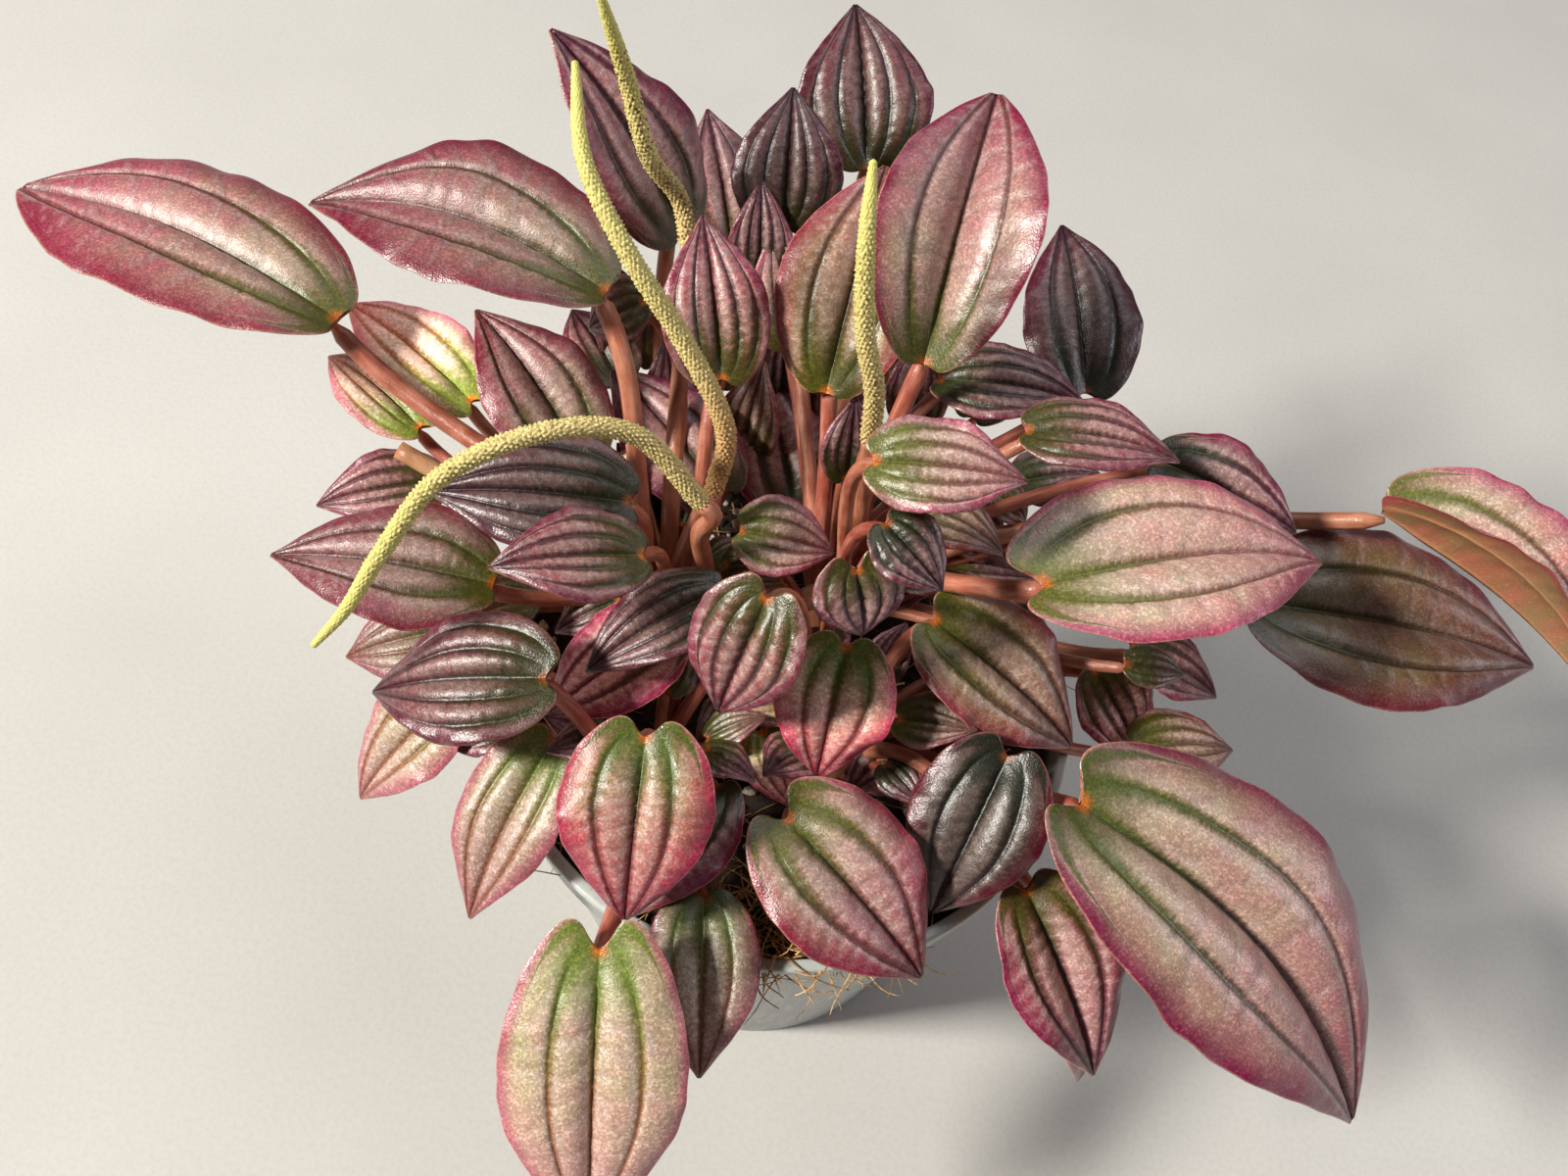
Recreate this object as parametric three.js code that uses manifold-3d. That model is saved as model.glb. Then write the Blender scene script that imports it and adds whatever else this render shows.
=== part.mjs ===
// A ripple peperomia in its plastic nursery pot. Millimetres, +Z up.
// The origin is the centre of the pot's underside, -Y is the plant's front and +X its right.
// Four short crowns root in the soil. Petioles and flower stalks belong to the crown that
// they grow from, and each leaf blade and each flower spike is a piece of its own.

import * as THREE from "three";
import Module from "manifold-3d";
import { mergeVertices } from "three/addons/utils/BufferGeometryUtils.js";

const wasm = await Module();
wasm.setup();

// ---- driving dimensions ----------------------------------------------------------------

const POT = {
  height: 92,
  baseRadius: 38,
  wallTopRadius: 48.4,
  rimRadius: 52.5,
  rimHeight: 14,
  wall: 1.4,
  floor: 2,
  bevel: 1,
  sides: 36,
};
const BAND = { footRadius: 50.9, topRadius: 51.7, step: 1.5 };
const LIP = { height: 2.4, bevel: 0.6 };
const DRAIN = { holes: 8, radius: 3.5, circleRadius: 27, sides: 10 };

const CLEARANCE = 0.3;
const SOIL = { gap: 0.4, top: 86, mound: 2.5, bump: 1.2, rings: 4, seed: 11 };
const STEM = { radius: 5.5, foot: 70, shoulder: 94, top: 98, neckShare: 0.6, sides: 10 };

const BLADE = {
  thicknessMm: 1,
  widest: 0.4, // where along its length a blade is widest
  baseShare: 0.14, // the width left where the petiole joins, as a share of the full width
  baseCurve: 0.65, // how soon the base swells: less is sooner
  tipCurve: 0.9, // how late the tip draws in: less is later
  arch: 0.07, // the midrib's rise, as a share of the length
  fold: -0.1, // the margins' turn, as a share of the width
  crest: 0.07, // how far the strips between the veins stand up, as a share of the width
  broadCrestMm: 1.1, // the same on a broad blade
  wave: 0.025, // the height of the margins' waves, as a share of the width
  waves: 2, // along a margin
  waveShift: 0.37, // from one leaf to the next, as a share of a wave
  waveTwist: 0.3, // from the midrib to a margin, as a share of a wave
};
const BROAD_FROM = 29;
const SLIM_BELOW = 18;
const ROWS = { broad: 7, middling: 5, slim: 4, crowding: 1.3 };

const PETIOLE = { radius: 1.7, footRadius: 2.3, footOffset: 2.5, landing: 1.5, sides: 5, steps: 5 };
// How a petiole sets off from the stem and comes in to the blade, as shares of level and
// upward travel, and how far each end pulls the curve, as a share of the way between them.
const SET_OFF = { level: 0.5, up: 0.85 };
const COME_IN = { level: 0.75, up: 0.65 };
const PULL = 0.35;
const BOW_CARRIED_ON = 0.4;

const STALK = { radius: 1.5, straight: 3, sides: 5, steps: 6 };
const SPIKE = { radius: 2.2, tipRadius: 0.8, taper: 2.5, bump: 0.3, sides: 6, steps: 20 };

// ---- where the crowns root, and where each leaf and spike stands --------------------------

const CROWNS = {
  a: [-24, 12],
  b: [4, 16],
  c: [-20, -20],
  d: [12, -12],
};

// Each leaf: its crown, where the petiole meets the blade, the tip, the blade's width, the
// roll about its midrib in degrees, and how far the base lobes reach back, as a share of
// the length. A sweep curves the midrib sideways by a share of the length, a bow pushes the
// lower part of the petiole clear of a neighbour, and a fold turns the margins by a share of
// the width, down where it is negative.
const LEAVES = [
  ["a", [-90, 43, 122], [-159, 65, 120], 38, -5, 0.03, { sweep: -0.06 }],
  ["a", [-39, 37, 146], [-93, 48, 146], 33, 0, 0.03, { sweep: -0.12, bow: [-3, -6, 10] }],
  ["a", [-32, 68, 132], [-58, 81, 162], 28, 0, 0.03, { bow: [0, 5, -12] }],
  ["a", [-23, 77, 120], [-32, 97, 138], 19, 5, 0.03],
  ["b", [-13, 65, 140], [-15, 81, 158], 20, 0, 0.05],
  ["b", [0, 86, 138], [-7, 110, 156], 26, 5, 0.03],
  ["b", [-1, 37, 130], [3, 70, 154], 26, 0, 0.03],
  ["b", [14, 36, 142], [19, 75, 168], 30, 0, 0.04],
  ["b", [46, 53, 123], [38, 84, 135], 23, 0, 0.03, { bow: [-8, 10, 0] }],
  ["a", [-19, 33, 134], [-26, 53, 152], 19, 0, 0.03, { bow: [4, -6, 10] }],
  ["a", [-17, 27, 110], [-41, 45, 119], 21, 10, 0.05],
  ["b", [-3, 32, 100], [-16, 61, 111], 21, 0, 0.03],
  ["a", [-41, 22, 120], [-64, 43, 132], 22, 0, 0.03],
  ["a", [-67, 42, 106], [-95, 57, 112], 20, 0, 0.05],
  ["a", [-76, 37, 102], [-99, 52, 102], 17, 0, 0.05],
  ["a", [-68, 24, 104], [-90, 16, 102], 15, 15, 0.03],
  ["a", [-51, -2, 114], [-90, -2, 112], 25, 0, 0.03],
  ["a", [-30, 9, 128], [-63, 5, 128], 22, 15, 0.03],
  ["a", [-25, -6, 136], [-47, -14, 139], 16, 10, 0.03, { bow: [0, 6, 0] }],
  ["c", [-57, -5, 103], [-77, -11, 97], 17, 10, 0.03],
  ["c", [-37, -22, 122], [-67, -23, 110], 23, 10, 0.05, { bow: [2, -8, -2] }],
  ["c", [-54, -14, 99], [-72, -30, 80], 19, 0, 0.03, { bow: [0, 0, 4] }],
  ["c", [-20, -3, 112], [-40, -18, 100], 19, 5, 0.03],
  ["b", [-12, 14, 118], [5, 14, 116], 15, -20, 0.03],
  ["c", [-13, -1, 122], [-33, -16, 114], 16, 0, 0.03],
  ["d", [-5, -13, 141], [-10, -24, 123], 19, 0, 0.1, { bow: [0, 5, 0] }],
  ["d", [7, -7, 143], [10, -13, 134], 15, 0, 0.2],
  ["d", [8, -10, 126], [7, -26, 109], 20, 0, 0.06],
  ["b", [10, -3, 150], [20, -10, 145], 12, -10, 0.05],
  ["b", [7, 4, 155], [30, 5, 155], 16, -15, 0.05, { bow: [5, 0, 0] }],
  ["b", [17, 35, 112], [37, 30, 105], 15, -20, 0.03],
  ["b", [18, 44, 130], [45, 43, 131], 17, -5, 0.03],
  ["b", [32, 27, 140], [58, 26, 140], 16, 0, 0.03],
  ["b", [58, 36, 127], [84, 28, 124], 19, -10, 0.03, { bow: [0, 0, 6] }],
  ["b", [36, -1, 138], [85, 18, 132], 32, 3, 0.08, { bow: [0, 7, 6] }],
  ["d", [22, 1, 120], [50, -10, 104], 24, -10, 0.05],
  ["d", [55, 10, 98], [67, 0, 86], 16, -15, 0.03],
  ["b", [56, 2, 114], [67, 3, 112], 8, -15, 0.03],
  ["d", [49, -24, 112], [108, -58, 76], 46, 0, 0.08, { sweep: 0.07 }],
  ["d", [37, -18, 113], [29, -40, 94], 23, 0, 0.08, { bow: [0, -6, -9] }],
  ["d", [3, -33, 109], [29, -51, 96], 27, -5, 0.1, { bow: [4, 0, 4] }],
  ["d", [44, -34, 98], [61, -58, 80], 23, 0, 0.05],
  ["c", [-20, -30, 124], [-19, -53, 106], 24, 0, 0.1],
  ["c", [-9, -28, 107], [-19, -49, 97], 18, 0, 0.06],
  ["c", [-36, -25, 107], [-46, -51, 88], 19, -5, 0.03],
  ["c", [-8, -44, 98], [-4, -70, 87], 19, 0, 0.03],
  ["c", [-22, -57, 105], [-17, -93, 76], 29, 0, 0.05, { bow: [-7, 0, 0] }],
  ["b", [82, 23, 108], [139, 25, 99], 36, -8, 0.03],
  ["b", [100, 37, 122], [142, 11, 111], 32, -8, 0.03, { fold: 0.25, bow: [0, 2, 4] }],
  ["d", [-3, -13, 98], [5, -25, 94], 12, -10, 0.03],
];

// Each flower spike: its crown, the points its stalk passes from the stem to the spike, and
// the points that the spike passes up to its tip.
const SPIKES = [
  ["a", [[-22, 11, 108], [-19, 14, 121]], [[-17, 14, 128], [-16, 17, 140], [-24, 22, 154],
    [-33, 26, 166], [-41, 34, 175], [-45, 47, 182]]],
  ["a", [[-17, 9, 108], [-18, 7, 126]], [[-18, 7, 134], [-29, 9, 146], [-41, 4, 150],
    [-55, -5, 147], [-62, -15, 140], [-67, -21, 132], [-72, -25, 126]]],
  ["b", [[8, 21, 116], [7, 22, 132]], [[7, 22, 138], [6, 22, 150], [3, 24, 160],
    [1, 29, 172], [0, 36, 182]]],
  ["a", [[-25, 21, 119], [-27, 42, 131]], [[-28, 55, 138], [-31, 60, 147], [-36, 58, 157],
    [-40, 60, 170], [-44, 59, 186]]],
];

// Petioles that were cut short: their crown and the point where each ends.
const STUBS = [
  ["a", [-34, 27, 118]],
  ["a", [-75, 24, 112]],
];

// ---- surfaces --------------------------------------------------------------------------

const UP = new THREE.Vector3(0, 0, 1);

const point = ([x, y, z]) => new THREE.Vector3(x, y, z);

function surface(vertices, triangles) {
  const coordinates = vertices.flatMap((vertex) => vertex.toArray());
  const geometry = new THREE.BufferGeometry();
  geometry.setAttribute("position", new THREE.Float32BufferAttribute(coordinates, 3));
  geometry.setIndex(triangles.flat());
  return geometry;
}

// A round rod along a curve. Its radius is radiusAt(t, k), with t from 0 to 1 along the
// curve and k the corner of the section. Each section is turned half a side from the one
// before, and both ends are closed by a flat fan.
function rod(curve, steps, sides, radiusAt) {
  const frames = curve.computeFrenetFrames(steps, false);
  const vertices = [];
  const triangles = [];
  for (let i = 0; i <= steps; i += 1) {
    const centre = curve.getPointAt(i / steps);
    for (let k = 0; k < sides; k += 1) {
      const angle = (2 * Math.PI * (k + (i % 2) / 2)) / sides;
      const spoke = frames.normals[i].clone().multiplyScalar(Math.cos(angle));
      spoke.addScaledVector(frames.binormals[i], Math.sin(angle));
      vertices.push(centre.clone().addScaledVector(spoke, radiusAt(i / steps, k + i)));
    }
  }
  for (let i = 0; i < steps; i += 1) {
    for (let k = 0; k < sides; k += 1) {
      const a = i * sides + k;
      const b = i * sides + ((k + 1) % sides);
      const c = a + sides;
      const d = b + sides;
      if (i % 2 === 0) {
        triangles.push([a, b, c], [b, d, c]);
      } else {
        triangles.push([a, b, d], [a, d, c]);
      }
    }
  }
  const first = vertices.push(curve.getPointAt(0)) - 1;
  const last = vertices.push(curve.getPointAt(1)) - 1;
  for (let k = 0; k < sides; k += 1) {
    const next = (k + 1) % sides;
    triangles.push([first, next, k]);
    triangles.push([last, steps * sides + k, steps * sides + next]);
  }
  return surface(vertices, triangles);
}

function turned(profile, sides) {
  const points = profile.map(([radius, z]) => new THREE.Vector2(radius, z));
  const geometry = new THREE.LatheGeometry(points, sides);
  geometry.rotateX(Math.PI / 2);
  return geometry;
}

function solid(geometry) {
  const bare = geometry.clone();
  bare.deleteAttribute("normal");
  bare.deleteAttribute("uv");
  const merged = mergeVertices(bare, 1e-4);
  return new wasm.Manifold(new wasm.Mesh({
    numProp: 3,
    vertProperties: new Float32Array(merged.attributes.position.array),
    triVerts: new Uint32Array(merged.index.array),
  }));
}

function fromSolid(body) {
  const mesh = body.getMesh();
  const geometry = new THREE.BufferGeometry();
  geometry.setAttribute("position", new THREE.BufferAttribute(mesh.vertProperties, 3));
  geometry.setIndex(new THREE.BufferAttribute(mesh.triVerts, 1));
  return geometry;
}

// ---- pot -------------------------------------------------------------------------------

const rimFoot = POT.height - POT.rimHeight;
const rimStep = rimFoot + BAND.step;

// The wall tapers up to a step, the rim band stands out above it, and a lip runs round the
// top. The inside follows one wall's thickness in.
function potGeometry() {
  const outside = [
    [0, 0],
    [POT.baseRadius - POT.bevel, 0],
    [POT.baseRadius, POT.bevel],
    [POT.wallTopRadius, rimFoot],
    [BAND.footRadius, rimStep],
    [BAND.topRadius, POT.height - LIP.height],
    [POT.rimRadius, POT.height - LIP.height + LIP.bevel],
    [POT.rimRadius, POT.height - LIP.bevel],
    [POT.rimRadius - LIP.bevel, POT.height],
  ];
  const inside = [
    [BAND.topRadius - POT.wall, POT.height],
    [BAND.footRadius - POT.wall, rimStep + POT.wall],
    [POT.wallTopRadius - POT.wall, rimFoot + POT.wall],
    [POT.baseRadius - POT.wall, POT.floor],
    [0, POT.floor],
  ];
  let pot = solid(turned([...outside, ...inside], POT.sides));
  for (let i = 0; i < DRAIN.holes; i += 1) {
    const angle = (2 * Math.PI * (i + 0.5)) / DRAIN.holes;
    const hole = new THREE.CylinderGeometry(DRAIN.radius, DRAIN.radius, 4 * POT.floor, DRAIN.sides);
    hole.rotateX(Math.PI / 2);
    hole.translate(DRAIN.circleRadius * Math.cos(angle), DRAIN.circleRadius * Math.sin(angle), 0);
    pot = pot.subtract(solid(hole));
  }
  return fromSolid(pot);
}

// ---- soil ------------------------------------------------------------------------------

// The soil follows the pot's inner wall, and its top is a low mound with seeded bumps. Each
// crown's stem stands in a plain round hole.
function soilGeometry() {
  let seed = SOIL.seed;
  const random = () => {
    seed = (seed * 16807) % 2147483647;
    return seed / 2147483647;
  };
  const sides = POT.sides;
  const inset = POT.wall + SOIL.gap;
  const edge = BAND.footRadius - inset;
  const rings = [
    [POT.baseRadius - inset, POT.floor + SOIL.gap],
    [POT.wallTopRadius - inset, rimFoot + inset],
    [edge, rimStep + inset],
  ];
  const buried = rings.length;
  for (let k = 0; k < SOIL.rings; k += 1) {
    const share = 1 - k / SOIL.rings;
    rings.push([edge * share, SOIL.top + SOIL.mound * (1 - share * share)]);
  }
  const vertices = [];
  const triangles = [];
  rings.forEach(([radius, z], ring) => {
    for (let i = 0; i < sides; i += 1) {
      const angle = (2 * Math.PI * i) / sides;
      const rise = ring < buried ? 0 : SOIL.bump * (random() - 0.5);
      vertices.push(new THREE.Vector3(radius * Math.sin(angle), -radius * Math.cos(angle), z + rise));
    }
  });
  for (let ring = 0; ring + 1 < rings.length; ring += 1) {
    for (let i = 0; i < sides; i += 1) {
      const a = ring * sides + i;
      const b = ring * sides + ((i + 1) % sides);
      triangles.push([a, b, b + sides], [a, b + sides, a + sides]);
    }
  }
  const bottom = vertices.push(new THREE.Vector3(0, 0, POT.floor + SOIL.gap)) - 1;
  const top = vertices.push(new THREE.Vector3(0, 0, SOIL.top + SOIL.mound)) - 1;
  const lastRing = (rings.length - 1) * sides;
  for (let i = 0; i < sides; i += 1) {
    const next = (i + 1) % sides;
    triangles.push([bottom, next, i], [top, lastRing + i, lastRing + next]);
  }
  let soil = solid(surface(vertices, triangles));
  const holeFloor = STEM.foot - CLEARANCE;
  const holeDepth = STEM.top - holeFloor;
  const holeRadius = STEM.radius + CLEARANCE;
  for (const [x, y] of Object.values(CROWNS)) {
    const hole = new THREE.CylinderGeometry(holeRadius, holeRadius, holeDepth, STEM.sides);
    hole.rotateX(Math.PI / 2);
    hole.translate(x, y, holeFloor + holeDepth / 2);
    soil = soil.subtract(solid(hole));
  }
  return fromSolid(soil);
}

// ---- leaf blades -----------------------------------------------------------------------

// The leaves with their own directions: along the midrib, out of the upper face, and across.
const leaves = LEAVES.map(([crown, base, tip, width, roll, lobe, { sweep, bow, fold } = {}], index) => {
  const along = point(tip).sub(point(base));
  const length = along.length();
  along.normalize();
  const level = UP.clone().addScaledVector(along, -along.z).normalize();
  const face = level.applyAxisAngle(along, THREE.MathUtils.degToRad(-roll));
  return {
    crown,
    base: point(base),
    along,
    face,
    across: face.clone().cross(along),
    length,
    width,
    lobe,
    sweep: sweep ?? 0,
    fold: fold ?? BLADE.fold,
    bow: point(bow ?? [0, 0, 0]),
    waveStart: BLADE.waveShift * index,
  };
});

// Half the blade's width at a share u of its length, as a share of the full half-width: a
// broad base swells to the widest place and then draws in to the pointed tip.
function outline(u) {
  const quarter = Math.PI / 2;
  if (u < BLADE.widest) {
    const swell = Math.sin(quarter * (u / BLADE.widest) ** BLADE.baseCurve);
    return THREE.MathUtils.lerp(BLADE.baseShare, 1, swell);
  }
  return Math.cos((quarter * (u - BLADE.widest)) / (1 - BLADE.widest)) ** BLADE.tipCurve;
}

// The point of a blade at a share u of its length and v across, from -1 to 1. Its strips are
// puffed between sunken veins, its midrib arches, and its margins turn and wave.
function bladePoint(leaf, strips, u, v) {
  const { width, length } = leaf;
  const swell = Math.sin(Math.PI * u);
  const fade = Math.sin(Math.PI * u ** 0.8) ** 0.6;
  const crest = width >= BROAD_FROM ? BLADE.broadCrestMm : BLADE.crest * width;
  const ripple = crest * fade * Math.sin(Math.PI * strips * v) ** 2;
  const turn = leaf.fold * width * (v * outline(u)) ** 2;
  const cycles = BLADE.waves * u + leaf.waveStart + BLADE.waveTwist * v;
  const wave = BLADE.wave * width * fade * Math.abs(v) ** 3 * Math.sin(2 * Math.PI * cycles);
  return leaf.base.clone()
    .addScaledVector(leaf.along, length * (u - leaf.lobe * v * v * (1 - u) ** 3))
    .addScaledVector(leaf.across, (v * width * outline(u)) / 2 + leaf.sweep * length * swell)
    .addScaledVector(leaf.face, ripple + BLADE.arch * length * swell + turn + wave);
}

function rowCount(width) {
  if (width >= BROAD_FROM) return ROWS.broad;
  if (width < SLIM_BELOW) return ROWS.slim;
  return ROWS.middling;
}

// A blade is one grid, laid twice a thickness apart. Both layers are split alike, its rows
// crowd towards the base, and they end in one point at the tip.
function bladeGeometry(leaf) {
  const strips = leaf.width >= BROAD_FROM ? 3 : 2;
  const columns = 4 * strips;
  const rows = rowCount(leaf.width);
  const vertices = [];
  for (const side of [1, -1]) {
    const lift = (side * BLADE.thicknessMm) / 2;
    for (let j = 0; j < rows; j += 1) {
      const u = (j / rows) ** ROWS.crowding;
      for (let i = 0; i <= columns; i += 1) {
        const middle = bladePoint(leaf, strips, u, (2 * i) / columns - 1);
        vertices.push(middle.addScaledVector(leaf.face, lift));
      }
    }
    vertices.push(bladePoint(leaf, strips, 1, 0).addScaledVector(leaf.face, lift));
  }
  const layer = rows * (columns + 1) + 1;
  const at = (i, j) => (j === rows ? layer - 1 : j * (columns + 1) + i);
  const triangles = [];
  const patch = (a, b, c) => {
    triangles.push([a, c, b], [a + layer, b + layer, c + layer]);
  };
  for (let j = 0; j < rows; j += 1) {
    for (let i = 0; i < columns; i += 1) {
      if (j === rows - 1) {
        patch(at(i, j), at(i + 1, j), at(i, j + 1));
      } else if (i < columns / 2) {
        patch(at(i, j), at(i + 1, j), at(i, j + 1));
        patch(at(i + 1, j), at(i + 1, j + 1), at(i, j + 1));
      } else {
        patch(at(i, j), at(i + 1, j), at(i + 1, j + 1));
        patch(at(i, j), at(i + 1, j + 1), at(i, j + 1));
      }
    }
  }
  const edge = [];
  for (let i = 0; i < columns; i += 1) edge.push(at(i, 0));
  for (let j = 0; j < rows; j += 1) edge.push(at(columns, j));
  for (let j = rows; j > 0; j -= 1) edge.push(at(0, j));
  edge.forEach((a, k) => {
    const b = edge[(k + 1) % edge.length];
    triangles.push([a, b, b + layer], [a, b + layer, a + layer]);
  });
  return surface(vertices, triangles);
}

// ---- crowns: stem, petioles, flower stalks and stubs -------------------------------------

// A petiole leaves the stem upwards, bows out, and meets the blade from below.
function petiole([x, y], leaf) {
  const { base, along, face, bow } = leaf;
  const away = new THREE.Vector3(base.x - x, base.y - y, 0).normalize();
  const start = new THREE.Vector3(x, y, STEM.shoulder).addScaledVector(away, PETIOLE.footOffset);
  const arrive = away.clone().add(new THREE.Vector3(along.x, along.y, 0)).normalize();
  arrive.multiplyScalar(COME_IN.level).addScaledVector(face, COME_IN.up).normalize();
  const slant = Math.sqrt(1 - arrive.dot(face) ** 2);
  const below = BLADE.thicknessMm / 2 + CLEARANCE + PETIOLE.radius * slant;
  const end = base.clone().addScaledVector(along, PETIOLE.landing).addScaledVector(face, -below);
  const pull = PULL * start.distanceTo(end);
  const setOff = away.clone().multiplyScalar(SET_OFF.level).addScaledVector(UP, SET_OFF.up);
  const curve = new THREE.CubicBezierCurve3(
    start,
    start.clone().addScaledVector(setOff, pull).add(bow),
    end.clone().addScaledVector(arrive, -pull).addScaledVector(bow, BOW_CARRIED_ON),
    end,
  );
  const radius = (t) => THREE.MathUtils.lerp(PETIOLE.footRadius, PETIOLE.radius, Math.min(1, 2 * t));
  return rod(curve, PETIOLE.steps, PETIOLE.sides, radius);
}

function stalk([x, y], points) {
  const curve = new THREE.CatmullRomCurve3([point([x, y, STEM.shoulder]), ...points]);
  return rod(curve, STALK.steps, STALK.sides, () => STALK.radius);
}

// The last two points of a flower stalk, in line with the foot of its spike and ending a
// clearance below it.
function seat([foot, next]) {
  const direction = point(next).sub(point(foot)).normalize();
  return [STALK.straight, CLEARANCE].map((drop) => point(foot).addScaledVector(direction, -drop));
}

function stemGeometry([x, y]) {
  const profile = [
    [0, STEM.foot],
    [STEM.radius, STEM.foot],
    [STEM.radius, STEM.shoulder],
    [STEM.neckShare * STEM.radius, STEM.top],
    [0, STEM.top],
  ];
  return turned(profile, STEM.sides).translate(x, y, 0);
}

function crownGeometry(key) {
  const crown = CROWNS[key];
  const ours = ([owner]) => owner === key;
  const pieces = [
    ...leaves.filter((leaf) => leaf.crown === key).map((leaf) => petiole(crown, leaf)),
    ...SPIKES.filter(ours).map(([, route, spike]) => stalk(crown, [...route.map(point), ...seat(spike)])),
    ...STUBS.filter(ours).map(([, end]) => stalk(crown, [point(end)])),
  ];
  let body = solid(stemGeometry(crown));
  for (const piece of pieces) {
    body = body.add(solid(piece));
  }
  return fromSolid(body);
}

// ---- flower spikes -----------------------------------------------------------------------

// A spike tapers to a blunt tip, and its sides are studded in staggered rows.
function spikeGeometry([, , points]) {
  const curve = new THREE.CatmullRomCurve3(points.map(point));
  const radius = (t, k) => {
    const taper = THREE.MathUtils.lerp(SPIKE.radius, SPIKE.tipRadius, t ** SPIKE.taper);
    const stud = k % 2 === 0 ? SPIKE.bump : -SPIKE.bump;
    return taper + stud * (1 - t);
  };
  return rod(curve, SPIKE.steps, SPIKE.sides, radius);
}

// ---- assembly --------------------------------------------------------------------------

const materials = {
  pot: new THREE.MeshStandardMaterial({ color: 0xc9cfcd, roughness: 0.45, metalness: 0 }),
  soil: new THREE.MeshStandardMaterial({ color: 0x2b1d14, roughness: 1, metalness: 0 }),
  crown: new THREE.MeshStandardMaterial({ color: 0xc0705a, roughness: 0.5, metalness: 0 }),
  leaf: new THREE.MeshStandardMaterial({ color: 0xa5808a, roughness: 0.4, metalness: 0 }),
  spike: new THREE.MeshStandardMaterial({ color: 0xb9b862, roughness: 0.6, metalness: 0 }),
};

const plant = new THREE.Group();

function add(name, geometry, material) {
  const mesh = new THREE.Mesh(geometry, material);
  mesh.name = name;
  plant.add(mesh);
}

add("pot", potGeometry(), materials.pot);
add("soil", soilGeometry(), materials.soil);
for (const key of Object.keys(CROWNS)) {
  add(`crown_${key}`, crownGeometry(key), materials.crown);
}
leaves.forEach((leaf, index) => {
  const number = String(index + 1).padStart(2, "0");
  add(`leaf_${number}`, bladeGeometry(leaf), materials.leaf);
});
SPIKES.forEach((spike, index) => {
  add(`spike_${index + 1}`, spikeGeometry(spike), materials.spike);
});

export default plant;
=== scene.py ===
import math
import bpy
import numpy as np
from mathutils import Matrix, Vector


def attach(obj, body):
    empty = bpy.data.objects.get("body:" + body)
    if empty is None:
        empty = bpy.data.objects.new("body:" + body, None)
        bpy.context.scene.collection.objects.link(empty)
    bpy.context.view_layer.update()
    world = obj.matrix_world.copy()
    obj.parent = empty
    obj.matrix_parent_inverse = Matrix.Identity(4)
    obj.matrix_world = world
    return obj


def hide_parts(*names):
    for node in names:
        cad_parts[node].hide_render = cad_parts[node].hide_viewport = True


# A ripple peperomia in its plastic nursery pot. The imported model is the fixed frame, in metres.
# The tables and formulas below are in millimetres, and MM turns them into metres.

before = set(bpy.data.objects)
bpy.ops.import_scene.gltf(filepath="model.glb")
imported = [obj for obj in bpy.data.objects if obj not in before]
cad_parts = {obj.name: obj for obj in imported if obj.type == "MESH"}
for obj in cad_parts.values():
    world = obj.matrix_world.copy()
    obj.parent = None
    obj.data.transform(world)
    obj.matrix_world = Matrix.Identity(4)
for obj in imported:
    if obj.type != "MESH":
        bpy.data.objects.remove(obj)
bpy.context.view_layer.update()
MM = 0.001

# ---- Camera ------------------------------------------------------------------------------
# It stands in front of the plant and above it, tilted steeply down and rolled a little to
# the left.

CAMERA_PLACE = Vector((-3, -120.5, 311)) * MM
CAMERA_TILT = math.radians(57.2)
CAMERA_ROLL = math.radians(9)
CAMERA_LENS = 31.5
CAMERA_SENSOR = 36
CAMERA_NEAREST = 10 * MM

ahead = Vector((0, math.cos(CAMERA_TILT), -math.sin(CAMERA_TILT)))
level = Vector((1, 0, 0))
upward = level.cross(ahead)
camera = bpy.data.objects.new("camera", bpy.data.cameras.new("camera"))
camera.data.lens = CAMERA_LENS
camera.data.sensor_width = CAMERA_SENSOR
camera.data.clip_start = CAMERA_NEAREST
right = level * math.cos(CAMERA_ROLL) + upward * math.sin(CAMERA_ROLL)
top = upward * math.cos(CAMERA_ROLL) - level * math.sin(CAMERA_ROLL)
camera.matrix_world = Matrix.Translation(CAMERA_PLACE) @ Matrix((right, top, -ahead)).transposed().to_4x4()
bpy.context.collection.objects.link(camera)
bpy.context.scene.camera = camera

# ---- Light -------------------------------------------------------------------------------
# A window high at the left does most of the work. A wide weak sheet overhead and a card at
# the right fill the shadows, and the room around is pale and dim.

MIDDLE = (0, 0, 110)
# Each light: its place, the side of its square, its power in watts, and its tint.
LIGHTS = {
    "window": ((-1150, -430, 1150), 260, 45, (1.0, 0.95, 0.87)),
    "fill": ((300, 500, 1300), 900, 5.5, (0.96, 0.96, 0.99)),
    "card": ((1150, 100, 620), 420, 3.2, (0.98, 0.94, 1.0)),
}
ROOM_COLOUR = (0.82, 0.82, 0.83, 1)
ROOM_STRENGTH = 0.12


def add_light(name, place, size, power, colour):
    """A square soft light of a side in millimetres, at a place and turned to the middle."""
    lamp = bpy.data.objects.new(name, bpy.data.lights.new(name, "AREA"))
    lamp.data.shape = "SQUARE"
    lamp.data.size = size * MM
    lamp.data.energy = power
    lamp.data.color = colour
    lamp.location = Vector(place) * MM
    lamp.rotation_mode = "QUATERNION"
    lamp.rotation_quaternion = (Vector(MIDDLE) * MM - lamp.location).to_track_quat("-Z", "Y")
    bpy.context.collection.objects.link(lamp)


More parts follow.
